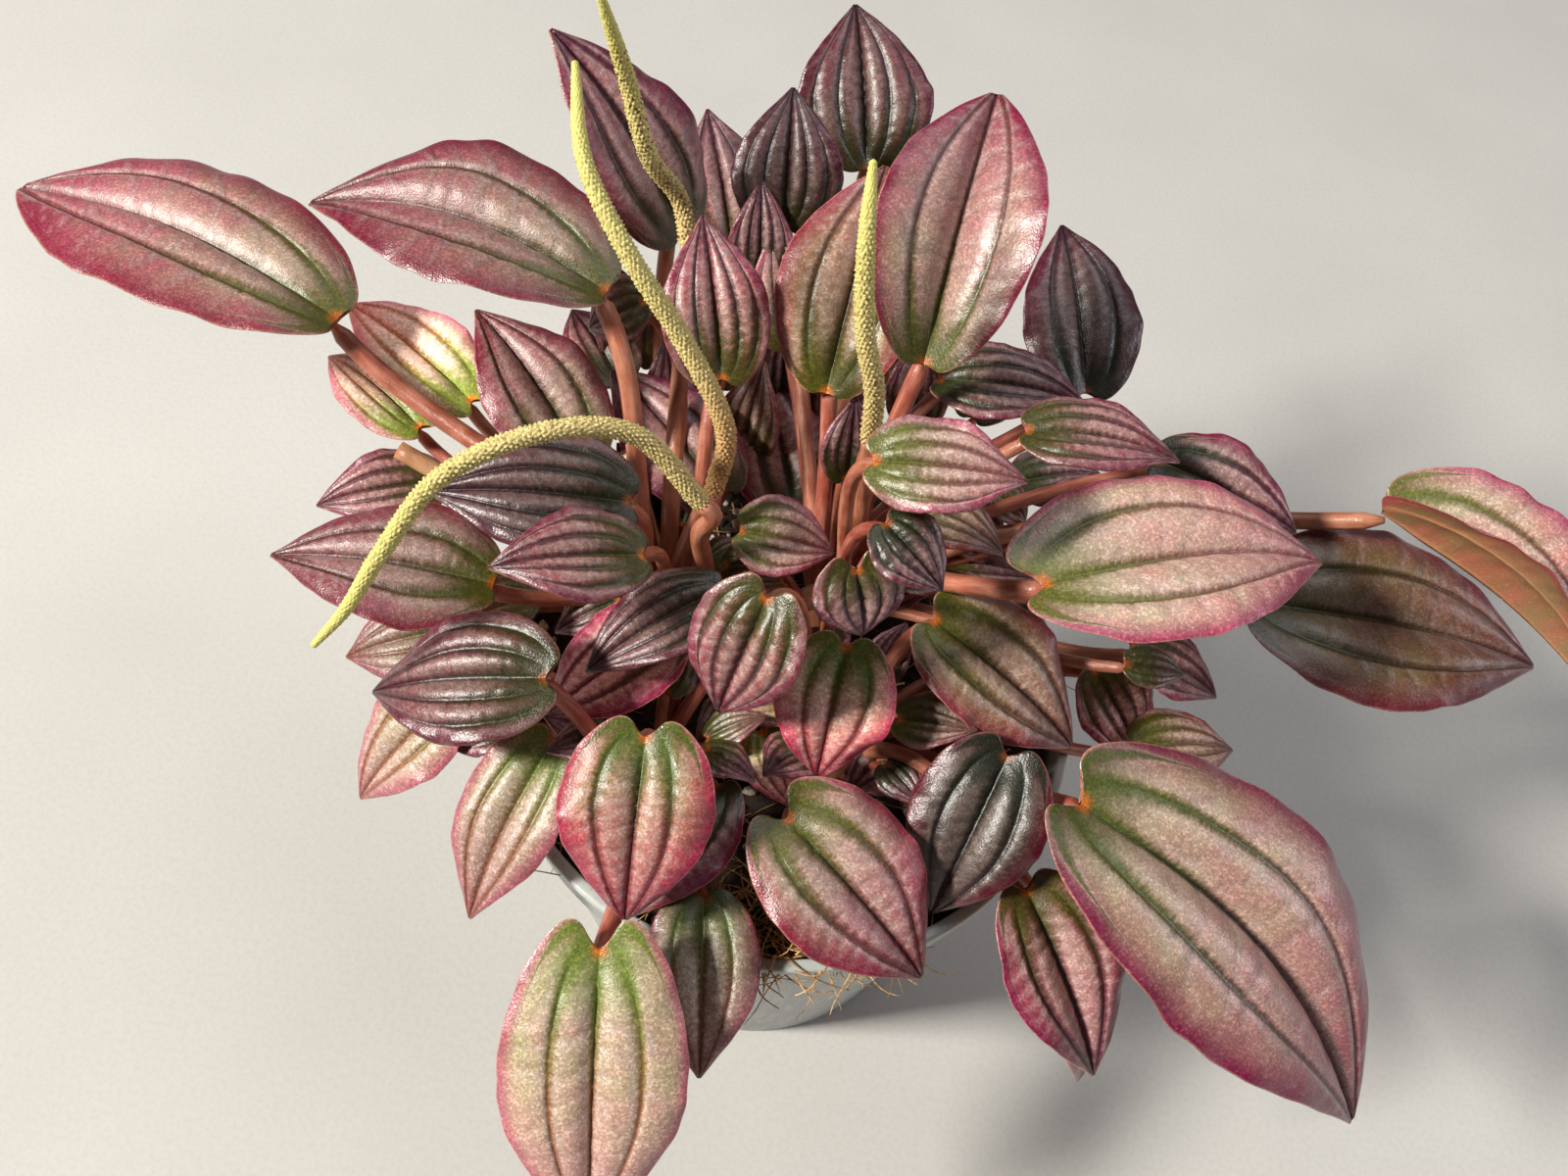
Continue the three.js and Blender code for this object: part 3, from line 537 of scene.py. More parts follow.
# Each leaf: its crown, the foot of the blade, the tip, the width, the roll in degrees, how far
# the lobes reach back as a share of the length, the skin, and what sets it apart:
# - widest, where along its length it is widest; swell, how late its foot fills out; point, how
#   soon its tip draws in; round, how far its lobes' curve reaches back besides, as a share of
#   the width; sweep, how far its midrib curves sideways, as a share of the length;
# - ribbed, whether it has a small leaf's narrow strips; vee, how steeply its halves rise from
#   the midrib; fold, its margins' turn; wavy, their waves; curl, how far its tip turns down;
#   tilt, more roll, which its petiole doesn't follow; bow, how its petiole is pushed aside;
# - rim, how narrow its crimson is; tone, how light it is, partly its own colour and partly painted light and
#   shade for how lit or shaded it stands; grid, its entry in BLADE_GRIDS.
LEAVES = [
    ("a", (-90, 43, 122), (-159, 65, 120), 38, -5, 0.03, "rose",
     dict(sweep=-0.02, vee=0.06, round=0, widest=0.5, swell=0.8, point=0.85)),
    ("a", (-39, 37, 146), (-93, 48, 146), 33, 0, 0.03, "rose",
     dict(sweep=-0.06, vee=0.12, bow=(-3, -6, 10), round=0, widest=0.45, swell=0.8, tone_and_painted_light=0.7)),
    ("a", (-32, 68, 132), (-58, 81, 162), 28, 0, 0.03, "plum", dict(bow=(0, 5, -12), round=0.02)),
    ("a", (-23, 77, 120), (-32, 97, 138), 19, 5, 0.03, "plum", dict(tone_and_painted_light=1.12)),
    ("b", (-13, 65, 140), (-15, 81, 158), 20, 0, 0.05, "plum",
     dict(swell=0.65, round=0.02, ribbed=True, tone_and_painted_light=0.37)),
    ("b", (0, 86, 138), (-7, 110, 156), 26, 5, 0.03, "dusk",
     dict(swell=0.65, round=0, ribbed=True, tone_and_painted_light=0.45)),
    ("b", (-1, 37, 130), (3, 70, 154), 26, 0, 0.03, "moss",
     dict(vee=0.15, swell=0.8, round=0, widest=0.45, tone_and_painted_light=1.4)),
    ("b", (14, 36, 142), (19, 75, 168), 30, 0, 0.04, "sheen",
     dict(fold=0.0, rim=1.5, vee=0.27, point=0.85, swell=0.85, round=0, widest=0.48, tone_and_painted_light=0.95)),
    ("b", (46, 53, 123), (38, 84, 135), 23, 0, 0.03, "dark", dict(bow=(-8, 10, 0), tone_and_painted_light=0.45)),
    ("a", (-19, 33, 134), (-26, 53, 152), 19, 0, 0.03, "dusk", dict(bow=(4, -6, 10), ribbed=True)),
    ("a", (-17, 27, 110), (-41, 45, 119), 21, 10, 0.05, "plum", {}),
    ("b", (-3, 32, 100), (-16, 61, 111), 21, 0, 0.03, "dark", dict(tone_and_painted_light=1.8)),
    ("a", (-41, 22, 120), (-64, 43, 132), 22, 0, 0.03, "rose", {}),
    ("a", (-67, 42, 106), (-95, 57, 112), 20, 0, 0.05, "pale", dict(tone_and_painted_light=2.8)),
    ("a", (-76, 37, 102), (-99, 52, 102), 17, 0, 0.05, "pale", dict(tone_and_painted_light=1.6)),
    ("a", (-68, 24, 104), (-90, 16, 102), 15, 15, 0.03, "dusk", {}),
    ("a", (-51, -2, 114), (-90, -2, 112), 25, 0, 0.0, "rose", dict(swell=0.9, tone_and_painted_light=0.74)),
    ("a", (-30, 9, 128), (-63, 5, 128), 22, 15, 0.03, "dark", dict(ribbed=True, tone_and_painted_light=0.34)),
    ("a", (-25, -6, 136), (-47, -14, 139), 16, 10, 0.03, "dusk", dict(bow=(0, 6, 0), tone_and_painted_light=0.7)),
    ("c", (-57, -5, 103), (-77, -11, 97), 17, 10, 0.03, "pale", dict(tone_and_painted_light=0.62)),
    ("c", (-37, -22, 122), (-67, -23, 110), 23, 10, 0.05, "dusk",
     dict(bow=(2, -8, -2), ribbed=True, tone_and_painted_light=0.47)),
    ("c", (-54, -14, 99), (-72, -30, 80), 19, 0, 0.03, "pale", dict(bow=(0, 0, 4))),
    ("c", (-20, -3, 112), (-40, -18, 100), 19, 5, 0.03, "plum", dict(tone_and_painted_light=3.2)),
    ("b", (-12, 14, 118), (5, 14, 116), 15, -20, 0.03, "silver", {}),
    ("c", (-13, -1, 122), (-33, -16, 114), 16, 0, 0.03, "dusk", dict(tone_and_painted_light=0.42)),
    ("d", (-5, -13, 141), (-10, -24, 123), 19, 0, 0.1, "dusk", dict(bow=(0, 5, 0), ribbed=True, tone_and_painted_light=0.8)),
    ("d", (7, -7, 143), (10, -13, 134), 15, 0, 0.2, "plum", dict(tone_and_painted_light=0.94)),
    ("d", (8, -10, 126), (7, -26, 109), 20, 0, 0.06, "pink", dict(wavy=0.1, vee=0.1, tone_and_painted_light=1.2)),
    ("b", (10, -3, 150), (20, -10, 145), 12, -10, 0.05, "dark", dict(tone_and_painted_light=0.6)),
    ("b", (7, 4, 155), (30, 5, 155), 16, -15, 0.05, "silver", dict(bow=(5, 0, 0), wavy=0.07, tone_and_painted_light=0.92)),
    ("b", (17, 35, 112), (37, 30, 105), 15, -20, 0.03, "moss", {}),
    ("b", (18, 44, 130), (45, 43, 131), 17, -5, 0.03, "dark", dict(tone_and_painted_light=0.9)),
    ("b", (32, 27, 140), (58, 26, 140), 16, 0, 0.03, "dusk", dict(tone_and_painted_light=0.85)),
    ("b", (58, 36, 127), (84, 28, 124), 19, -10, 0.03, "dark", dict(bow=(0, 0, 6))),
    ("b", (36, -1, 138), (85, 18, 132), 32, 3, 0.08, "silver",
     dict(bow=(0, 7, 6), vee=0.1, rim=1.4, swell=0.65)),
    ("d", (22, 1, 120), (50, -10, 104), 24, -10, 0.05, "moss",
     dict(wavy=0.05, point=1.0, vee=0.1, tone_and_painted_light=1.1)),
    ("d", (55, 10, 98), (67, 0, 86), 16, -15, 0.03, "dusk", dict(tone_and_painted_light=1.8)),
    ("b", (56, 2, 114), (67, 3, 112), 8, -15, 0.03, "moss", dict(tone_and_painted_light=0.42)),
    ("d", (49, -24, 112), (108, -58, 76), 46, 0, 0.08, "gloss",
     dict(sweep=0.07, rim=1.45, point=1.1, vee=0.14, fold=-0.13, widest=0.42, round=0.03, tone_and_painted_light=1.14)),
    ("d", (37, -18, 113), (29, -40, 94), 23, 0, 0.08, "shade",
     dict(bow=(0, -6, -9), vee=0.1, round=0.05, tone_and_painted_light=0.36)),
    ("d", (3, -33, 109), (29, -51, 96), 27, -5, 0.1, "rose",
     dict(bow=(4, 0, 4), vee=0.1, point=1.0, round=0.06)),
    ("d", (44, -34, 98), (61, -58, 80), 23, 0, 0.05, "plum", dict(vee=0.16, tone_and_painted_light=1.3)),
    ("c", (-20, -30, 124), (-19, -53, 106), 24, 0, 0.1, "pink",
     dict(point=1.0, round=0.04, vee=0.05, tone_and_painted_light=0.94)),
    ("c", (-9, -28, 107), (-19, -49, 97), 18, 0, 0.06, "dark", {}),
    ("c", (-36, -25, 107), (-46, -51, 88), 19, -5, 0.03, "pale", dict(tone_and_painted_light=0.83)),
    ("c", (-8, -44, 98), (-4, -70, 87), 19, 0, 0.03, "pale", dict(tone_and_painted_light=0.5)),
    ("c", (-22, -57, 105), (-17, -93, 76), 29, 0, 0.05, "pale",
     dict(bow=(2, 0, -6), vee=0.03, rim=2.2, round=0.15, widest=0.44, swell=0.65)),
    ("b", (82, 23, 108), (139, 25, 99), 36, -8, 0.03, "moss", dict(swell=0.65, tone_and_painted_light=0.66)),
    ("b", (100, 37, 122), (142, 11, 111), 32, -8, 0.03, "silver",
     dict(vee=0.45, tilt=28, bow=(0, 2, 4), tone_and_painted_light=1.1)),
    ("d", (-3, -13, 98), (5, -25, 94), 12, -10, 0.03, "silver", dict(tone_and_painted_light=3.2)),
]

# Each skin: a strip near the foot, a strip near the tip, the rim, the veins at the foot and
# near the tip, and how much wax lies on it.
SKINS = {
    "rose": ("a08c78", "a0606a", "7a2c3e", "4e5020", "4a2c22", 0.12),
    "plum": ("8c5e5c", "92525e", "621c38", "3e3c1a", "381a20", 0.27),
    "sheen": ("a6947c", "a67276", "76203e", "4e5224", "4c3028", 0.4),
    "gloss": ("a2937a", "9a6a6c", "66143a", "424a1c", "3a2a24", 0.7),
    "shade": ("56523c", "5c3a38", "84283e", "20280c", "261614", 0.2),
    "dusk": ("8c5c50", "9a4c58", "722840", "40401a", "3a2020", 0.22),
    "dark": ("604438", "782f42", "702640", "262c0e", "241216", 0.33),
    "moss": ("8a7e56", "8c6050", "783442", "44461a", "443020", 0.3),
    "pale": ("acaa84", "be9a90", "a86070", "68743a", "80563f", 0.15),
    "silver": ("b0a48c", "c08e88", "984460", "565a2a", "603e38", 0.25),
    "pink": ("b09874", "c06c70", "94344e", "4e5a26", "5c2c2c", 0.12),
}

# Young leaves that fill the plant between the others, in the same terms.
YOUNG = [
    ("a", (-47, 5, 100), (-59, -1, 97), 12, 0, 0.05, "pale", {}),
    ("a", (-31, 5, 104), (-42, -1, 99), 11, 0, 0.05, "dark", {}),
    ("d", (-6, -8, 99), (-14, -17, 94), 10, 0, 0.05, "moss", {}),
    ("d", (3, -7, 100), (-9, -11, 98), 10, 0, 0.05, "pale", {}),
    ("d", (20, -13, 100), (13, -21, 95), 13, 0, 0.05, "dusk", {}),
    ("d", (30, 1, 100), (16, -15, 102), 13, 65, 0.05, "plum", {}),
    ("b", (15, 25, 120), (35, 20, 116), 14, -5, 0.05, "moss", dict(curl=0.12)),
    ("b", (31, 33, 116), (40, 31, 110), 9, -10, 0.05, "silver", dict(curl=0.2)),
    ("b", (36, 37, 114), (53, 44, 112), 13, -10, 0.05, "dark", {}),
    ("b", (25, 30, 110), (33, 24, 105), 10, 0, 0.05, "silver", {}),
    ("b", (25, 24, 105), (45, 26, 100), 14, 0, 0.05, "plum", {}),
    ("a", (-34, 44, 138), (-44, 42, 131), 13, 20, 0.05, "plum", {}),
    ("b", (-9, 53, 124), (-15, 63, 142), 14, 10, 0.05, "silver", {}),
    ("a", (-16, 57, 132), (-18, 68, 148), 12, 0, 0.05, "dark", {}),
    ("b", (5, 30, 117), (4, 37, 131), 11, 0, 0.08, "dark", {}),
    ("d", (64, -2, 93), (84, 3, 89), 15, 0, 0.05, "moss", dict(bow=(0, 0, 13))),
    ("d", (52, -37, 92), (65, -53, 55), 14, 0, 0.05, "pale", dict(bow=(0, 0, 16))),
    ("c", (-45, -17, 97), (-58, -22, 92), 13, 0, 0.05, "plum", {}),
    ("b", (44, 30, 116), (60, 40, 110), 15, 0, 0.05, "dark", {}),
    ("b", (60, 12, 104), (78, 8, 98), 14, 0, 0.05, "dusk", {}),
    ("a", (-40, 48, 112), (-52, 62, 114), 15, 0, 0.05, "dusk", {}),
    ("b", (10, 62, 112), (14, 80, 118), 16, 0, 0.05, "plum", {}),
    ("b", (28, 56, 108), (36, 74, 110), 15, 0, 0.05, "dark", {}),
    ("a", (-22, 52, 110), (-28, 70, 116), 15, 0, 0.05, "moss", {}),
    ("a", (-15, 40, 104), (-13, 50, 122), 13, 0, 0.05, "moss", {}),
    ("b", (-9, 52, 106), (-11, 62, 124), 12, 0, 0.05, "dark", {}),
    ("b", (1, 50, 104), (0, 60, 121), 12, 0, 0.05, "dusk", {}),
    ("b", (17, 55, 104), (16, 67, 119), 13, 0, 0.05, "plum", {}),
    ("a", (-38, 54, 110), (-44, 66, 124), 14, 0, 0.05, "dusk", {}),
    ("a", (-28, 43, 104), (-32, 52, 122), 13, 0, 0.05, "plum", {}),
    ("a", (-42, 36, 106), (-54, 44, 116), 13, 0, 0.05, "moss", {}),
    ("a", (-29, 24, 102), (-37, 32, 114), 12, 0, 0.05, "dark", {}),
]

# Each crown's place in the soil. Six tiny leaves stand round its top, each turned a little
# over a third of a circle from the one below it.
CROWNS = {"a": (-24, 12), "b": (4, 16), "c": (-20, -20), "d": (12, -12)}
ROSETTE = 6
ROSETTE_TURN = 2.4
ROSETTE_FOOT = 99
ROSETTE_RISE = 2.2
ROSETTE_SKINS = ("dark", "plum", "dusk", "moss")

draw = np.random.default_rng(51)
for key, (x, y) in CROWNS.items():
    for k in range(ROSETTE):
        turn = ROSETTE_TURN * k + draw.uniform(0, 0.8)
        way = np.array([math.cos(turn), math.sin(turn), 0])
        foot = np.array([x, y, ROSETTE_FOOT + ROSETTE_RISE * k]) + (7 + draw.uniform(0, 4)) * way
        tip = foot + way * draw.uniform(9, 13) + (0, 0, draw.uniform(0, 6))
        skin = ROSETTE_SKINS[draw.integers(len(ROSETTE_SKINS))]
        width, roll = draw.uniform(8, 11), draw.uniform(-20, 20)
        YOUNG.append((key, tuple(foot), tuple(tip), width, roll, 0.05, skin, {}))
YOUNG = [(*leaf[:7], {**leaf[7], "grid": "young"}) for leaf in YOUNG]

BLADE_THICKNESS = 0.8
BLADE_ARCH = 0.07
BLADE_FOLD = -0.07
BLADE_WIDEST = 0.37
BLADE_SWELL = 0.55
BLADE_POINT = 1.1
BLADE_ROUND = 0.07
NECK = 0.12  # half the width at the very foot, as a share of half the full width
LAST_ROW = 0.981  # how far towards the tip the last row lies
CROWDING = 1.7  # how much closer the rows lie near the foot
RIPPLES = ((0.007, 4.3), (0.005, 9.1))  # in the outline: how deep, and how many to a length
STRAYING = 0.03  # how far the veins stray, as a share of half the width
# Heights as shares of the width: of the puffed strips on a ribbed, a broad and any other blade,
# of each half's swell, of the midrib's groove, of the frill, and of the waves.
RIBBED_CREST = 0.036
BROAD_CREST = 0.026
CREST = 0.031
HALF_SWELL = 0.025
GROOVE = 0.03
FRILL = 0.009
BROAD_WAVES = 0.018
WAVES = 0.034
# The quilting: its height in millimetres on a broad blade, and as a share of another's width.
BROAD_QUILT = 0.55
QUILT = 0.02
BROAD_FROM = 29
SLIM_BELOW = 18
WIDTH_OF_BROADEST = 46
# The veins, as shares of the way from the midrib to a margin.
PLAIN_VEINS = np.array([0, 0.5, 0.87, 1])
RIBBED_VEINS = np.array([0, 0.38, 0.74, 1])
STRIP_HEIGHTS = np.array([1, 0.75, 0.35])
# Rows along a blade, and places across each strip.
BLADE_GRIDS = {"broad": (96, 8), "middling": (60, 6), "slim": (44, 5), "young": (30, 4)}


def unit(way):
    """A direction, or each row of an array, divided by its length."""
    return way / np.linalg.norm(way, axis=-1, keepdims=True)


def directions(foot, tip, roll):
    """A blade's length and its own directions: along it, across it, and out of its face. The
    face is the upward direction square to the blade, rolled about it."""
    way = np.subtract(tip, foot).astype(float)
    length = np.linalg.norm(way)
    along = way / length
    level_face = unit(np.array([0, 0, 1]) - along * along[2])
    turn = -math.radians(roll)
    face = level_face * math.cos(turn) + np.cross(along, level_face) * math.sin(turn)
    return length, along, np.cross(face, along), face


def passage(value, low, high):
    """Zero below low, one above high, and 3 t^2 - 2 t^3 at a share t of the way between."""
    t = np.clip((value - low) / (high - low), 0, 1)
    return t * t * (3 - 2 * t)


def outline(u, widest, swell, point):
    """Half the width at a share u of the length, as a share of half the full width: a rounded
    foot that swells to the widest place, then a cosine that draws in to the tip."""
    foot_part = NECK + (1 - NECK) * np.sin(np.pi / 2 * np.minimum(1, u / widest) ** swell)
    tip_part = np.cos(np.pi / 2 * np.clip((u - widest) / (1 - widest), 0, 1)) ** point
    return np.where(u < widest, foot_part, tip_part)


def section_line(veins, per_strip):
    """The places v round a section, from -1 at one margin to 1 at the other: over the upper
    face and back beneath, closer together at the veins. With them come 1 for the upper face
    or -1 for the lower, and the count of places over the upper face."""
    spread = 0.5 - 0.5 * np.cos(np.pi * np.arange(per_strip) / per_strip)
    half_line = np.concatenate([a + (b - a) * spread for a, b in zip(veins[:-1], veins[1:])] + [[1.0]])
    face_line = np.concatenate([half_line[::-1], -half_line[1:]])
    v = np.concatenate([face_line, face_line[-2:0:-1]])[None, :]
    upper = np.concatenate([np.ones(len(face_line)), -np.ones(len(face_line) - 2)])[None, :]
    return v, upper, len(face_line)


def strip_puff(u, size, veins, kind, ribbed):
    """The height from 0 to 1 of the puffed strips, and each place's strip and its way across
    it. A strip is a sine across, flattened on a broad blade, and the last one falls off at the
    margin. The outer two merge in one: near the tip on a ribbed blade, and nearly all the way
    on a plain one."""
    strip = np.clip(np.searchsorted(veins, size, side="right") - 1, 0, 2)
    inner, outer = veins[strip], veins[strip + 1]
    place = (size - inner) / (outer - inner)
    flat_top = passage(place, 0, 0.5) * passage(1 - place, 0, 0.5)
    round_top = np.sin(np.pi * np.clip(place, 0, 1)) ** 1.25
    pillow = (flat_top + round_top) / 2 if kind == "broad" else round_top
    pillow = np.where(strip == 2, np.sin(0.72 * np.pi * place), pillow) * STRIP_HEIGHTS[strip]
    merged = 0.75 * np.sin(0.86 * np.pi * np.clip((size - veins[1]) / (1 - veins[1]), 0, 1) ** 0.8)
    sunk = passage(u, 0.55, 0.95) if ribbed else 0.8 + 0.2 * passage(u, 0.1, 0.4)
    return np.where(strip == 0, pillow, (1 - sunk) * pillow + sunk * merged), strip, place


def quilt_reach(size, veins, strip, place, ribbed):
    """How strongly the side veins dent the strips: most beside a vein, less in mid-strip, and
    nothing on the vein itself."""
    if not ribbed:
        place = np.where(strip == 0, place, (size - veins[1]) / (1 - veins[1]))
    second_side = np.where(ribbed | (strip == 0), 0.7, 0)
    near_vein = np.where(ribbed & (strip == 2), 0.4, (1 - place) ** 1.2 + second_side * place ** 2)
    return near_vein * passage(place, 0.0, 0.1) * passage(1 - place, 0.0, 0.1)


def lobe_reach(u, plain, length, width, widest, lobe, roundness):
    """How far the margin is carried back beside the foot: to a half ellipse that ends behind
    the foot in two lobes, with a quarter ellipse between them for the notch."""
    reach_back = widest * length + lobe * length + roundness * width
    behind = reach_back * np.sqrt(np.clip(1 - plain ** 2, 0, 1)) - widest * length
    notch = np.sqrt(1 - np.clip(1 - (plain - NECK) / 0.36, 0, 1) ** 2)
    back = length * u + np.where(behind > 0, behind * notch, behind)
    return np.where(u < widest, np.maximum(back, 0), 0)


def vein_distance(u, size, veins, shape, width, kind, ribbed):
    """The distance from the nearest vein, where 1 is half the dark band's own width. A band
    narrows towards the tip, and the outer veins fade out sooner."""
    at_foot, narrowing = (2.2, 1.1) if kind == "broad" else (3.3, 1.5)
    scale = max(0.5, (width / WIDTH_OF_BROADEST) ** 0.6)
    band = scale * (at_foot - narrowing * passage(u, 0.0, 0.6))
    last = 1.6 + 6 * passage(u, 0.35, 0.8) if ribbed else 3 + 60 * passage(u, 0.05, 0.4)
    weights = np.concatenate([1 + 0.6 * u, 1.2 + 0.8 * u, last], axis=-1)
    off = size[..., None] - veins[:3]
    gap = np.where(off > 0, 1.3, -0.75) * off * (width / 2) * shape[..., None] * weights[:, None]
    return gap.min(axis=-1) / band


def blade_sheet(leaf, seed):
    """The skin of one blade, on a grid of shares u from foot to tip and places v round its
    section. A point lies at L u - reach |v|^1.6 along the blade and at v W/2 outline + sweep
    across it. Out of its face it stands at the sum of the arch, the strips, the quilting, the
    V of its halves, the turn, waves and frill of its margins and half its thickness."""
    _, foot, tip, width, roll, lobe, _, extras = leaf
    draw = np.random.default_rng(seed)
    length, along, across, face = directions(foot, tip, roll + extras.get("tilt", 0))
    ribbed = extras.get("ribbed", width < SLIM_BELOW)
    veins = RIBBED_VEINS if ribbed else PLAIN_VEINS
    kind = "broad" if width >= BROAD_FROM else "slim" if width < SLIM_BELOW else "middling"
    broad = kind == "broad"
    rows, per_strip = BLADE_GRIDS[extras.get("grid", kind)]
    v, upper, count_over = section_line(veins, per_strip)
    size = np.abs(v)
    u = LAST_ROW * np.linspace(0, 1, rows)[:, None] ** CROWDING

    # the outline, with two faint ripples in it, and veins that stray a little
    widest = extras.get("widest", BLADE_WIDEST)
    plain = outline(u, widest, extras.get("swell", BLADE_SWELL), extras.get("point", BLADE_POINT))
    shape = plain
    for depth, ripples in RIPPLES:
        shape = shape * (1 + depth * size * np.sin(2 * np.pi * (ripples * u + draw.uniform())))
    lean, phase = (np.where(v > 0, *draw.uniform(least, 1, (2, 1, 1))) for least in (-1, 0))
    drift = STRAYING * lean + STRAYING * np.sin(2 * np.pi * (0.7 * u + phase))
    vee = extras.get("vee", draw.uniform(0.05, 0.12))
    x_way = length * u
    y_way = (v + np.sign(v) * drift * np.sin(np.pi * size)) * (width / 2) * shape / np.hypot(1, 2 * vee)

    # the puffed strips, with the midrib's groove
    pillow, strip, place = strip_puff(u, size, veins, kind, ribbed)
    crest = RIBBED_CREST if ribbed else BROAD_CREST if broad else CREST
    fade = passage(u, -0.02, 0.2) * plain ** 0.8
    puff = crest * width * fade * pillow + HALF_SWELL * width * fade * np.sin(np.pi * size ** 0.8)
    puff = puff - GROOVE * width * fade * np.exp(-size / 0.18)

    # the quilting between the side veins, which bend forwards and wander
    pitch = 0.165 * width if broad else 0.08 * width + 0.7
    wander = rolling(x_way + 0 * v, y_way, 2.4 * pitch, seed + 500)
    count = (x_way - 0.5 * np.abs(y_way)) / pitch + 0.45 * wander + 0.5 * (v > 0) + draw.uniform()
    reach_in = quilt_reach(size, veins, strip, place, ribbed)
    quilt = (BROAD_QUILT if broad else QUILT * width) * fade
    quilt = quilt * np.abs(np.sin(np.pi * count)) ** 0.6 * reach_in

    # the turn of the halves and the tip, and the margins' waves
    turn = extras.get("fold", BLADE_FOLD) * width * (v * shape) ** 2
    turn = turn + vee * width * size * shape
    turn = turn + draw.uniform(-0.1, 0.1) * width * v * shape * (u - 0.3)
    turn = turn - extras.get("curl", draw.uniform(0, 0.05)) * length * np.clip(2 * u - 1, 0, 1) ** 2
    cycles = 2 * u + 0.37 * (seed - 1) + 0.3 * v
    height = extras.get("wavy", BROAD_WAVES if broad else WAVES) * width
    wave = height * fade * size ** 3 * np.sin(2 * np.pi * cycles)
    frill = FRILL * width * fade * size ** 5 * np.sin(2 * np.pi * (6.3 * u + draw.uniform() + 0.5 * v))
    thick = BLADE_THICKNESS / 2 * (1 - size ** 4) ** 0.6 * (1 - u ** 10) ** 0.5
    lip = 0.1 * passage(size, 0.85, 0.98) * fade
    arch = BLADE_ARCH * length * np.sin(np.pi * u)
    rise = puff + quilt + turn + wave + frill + lip + arch + upper * thick

    back = lobe_reach(u, plain, length, width, widest, lobe, extras.get("round", BLADE_ROUND))
    bend = extras.get("sweep", 0) * length + 0.006 * length * np.sin(2 * np.pi * draw.uniform())
    x = x_way - back * size ** 1.6 + 0 * v
    y = y_way + bend * np.sin(np.pi * u)
    points = foot + x[..., None] * along + y[..., None] * across + rise[..., None] * face

    # what the skins read: the way to the tip, the nearest vein and the rim, then the quilting's creases,
    # partly painted shade, the painted highlight beside each, the way from the petiole, and the leaf's own
    # tone, which is partly painted light and shade
    vein = vein_distance(u, size, veins, shape, width, kind, ribbed)
    edge = (1 - size) * shape * extras.get("rim", 1)
    shown = passage(u, 0.05, 0.3)
    line = np.abs(count - np.round(count)) * pitch
    past = (count - np.floor(count)) * pitch
    values = {
        "blade": np.stack([u + 0 * v, vein, edge], axis=-1),
        "crease": np.exp(-(line / (0.4 if broad else 0.25)) ** 2) * reach_in * shown,
        "painted_tick_highlight": np.exp(-((past - 0.75) / 0.5) ** 2) * reach_in * shown,
        "insertion": np.hypot(x, y) / (1.6 + 0.028 * length),
        # the leaf's tone: partly its own colour, partly painted light and shade for how lit or shaded it
        # stands
        "own": np.full(x.shape, extras.get("tone_and_painted_light", 1) * draw.uniform(0.92, 1.08)),
    }
    uv = np.stack([y_way, x_way + 0 * v], axis=-1)
    uv = np.concatenate([uv, uv[:, :1]], axis=1)
    beneath = np.repeat([0, 1], count_over - 1)[None, :]
    return {"points": points, "uv": uv, "values": values, "tags": beneath}


def pebbles(place, size):
    """Rounded cells of a size in millimetres, as their Distance and Color."""
    return add_node("TexVoronoi", {"Vector": place, "Scale": 1 / (size * MM)}).outputs


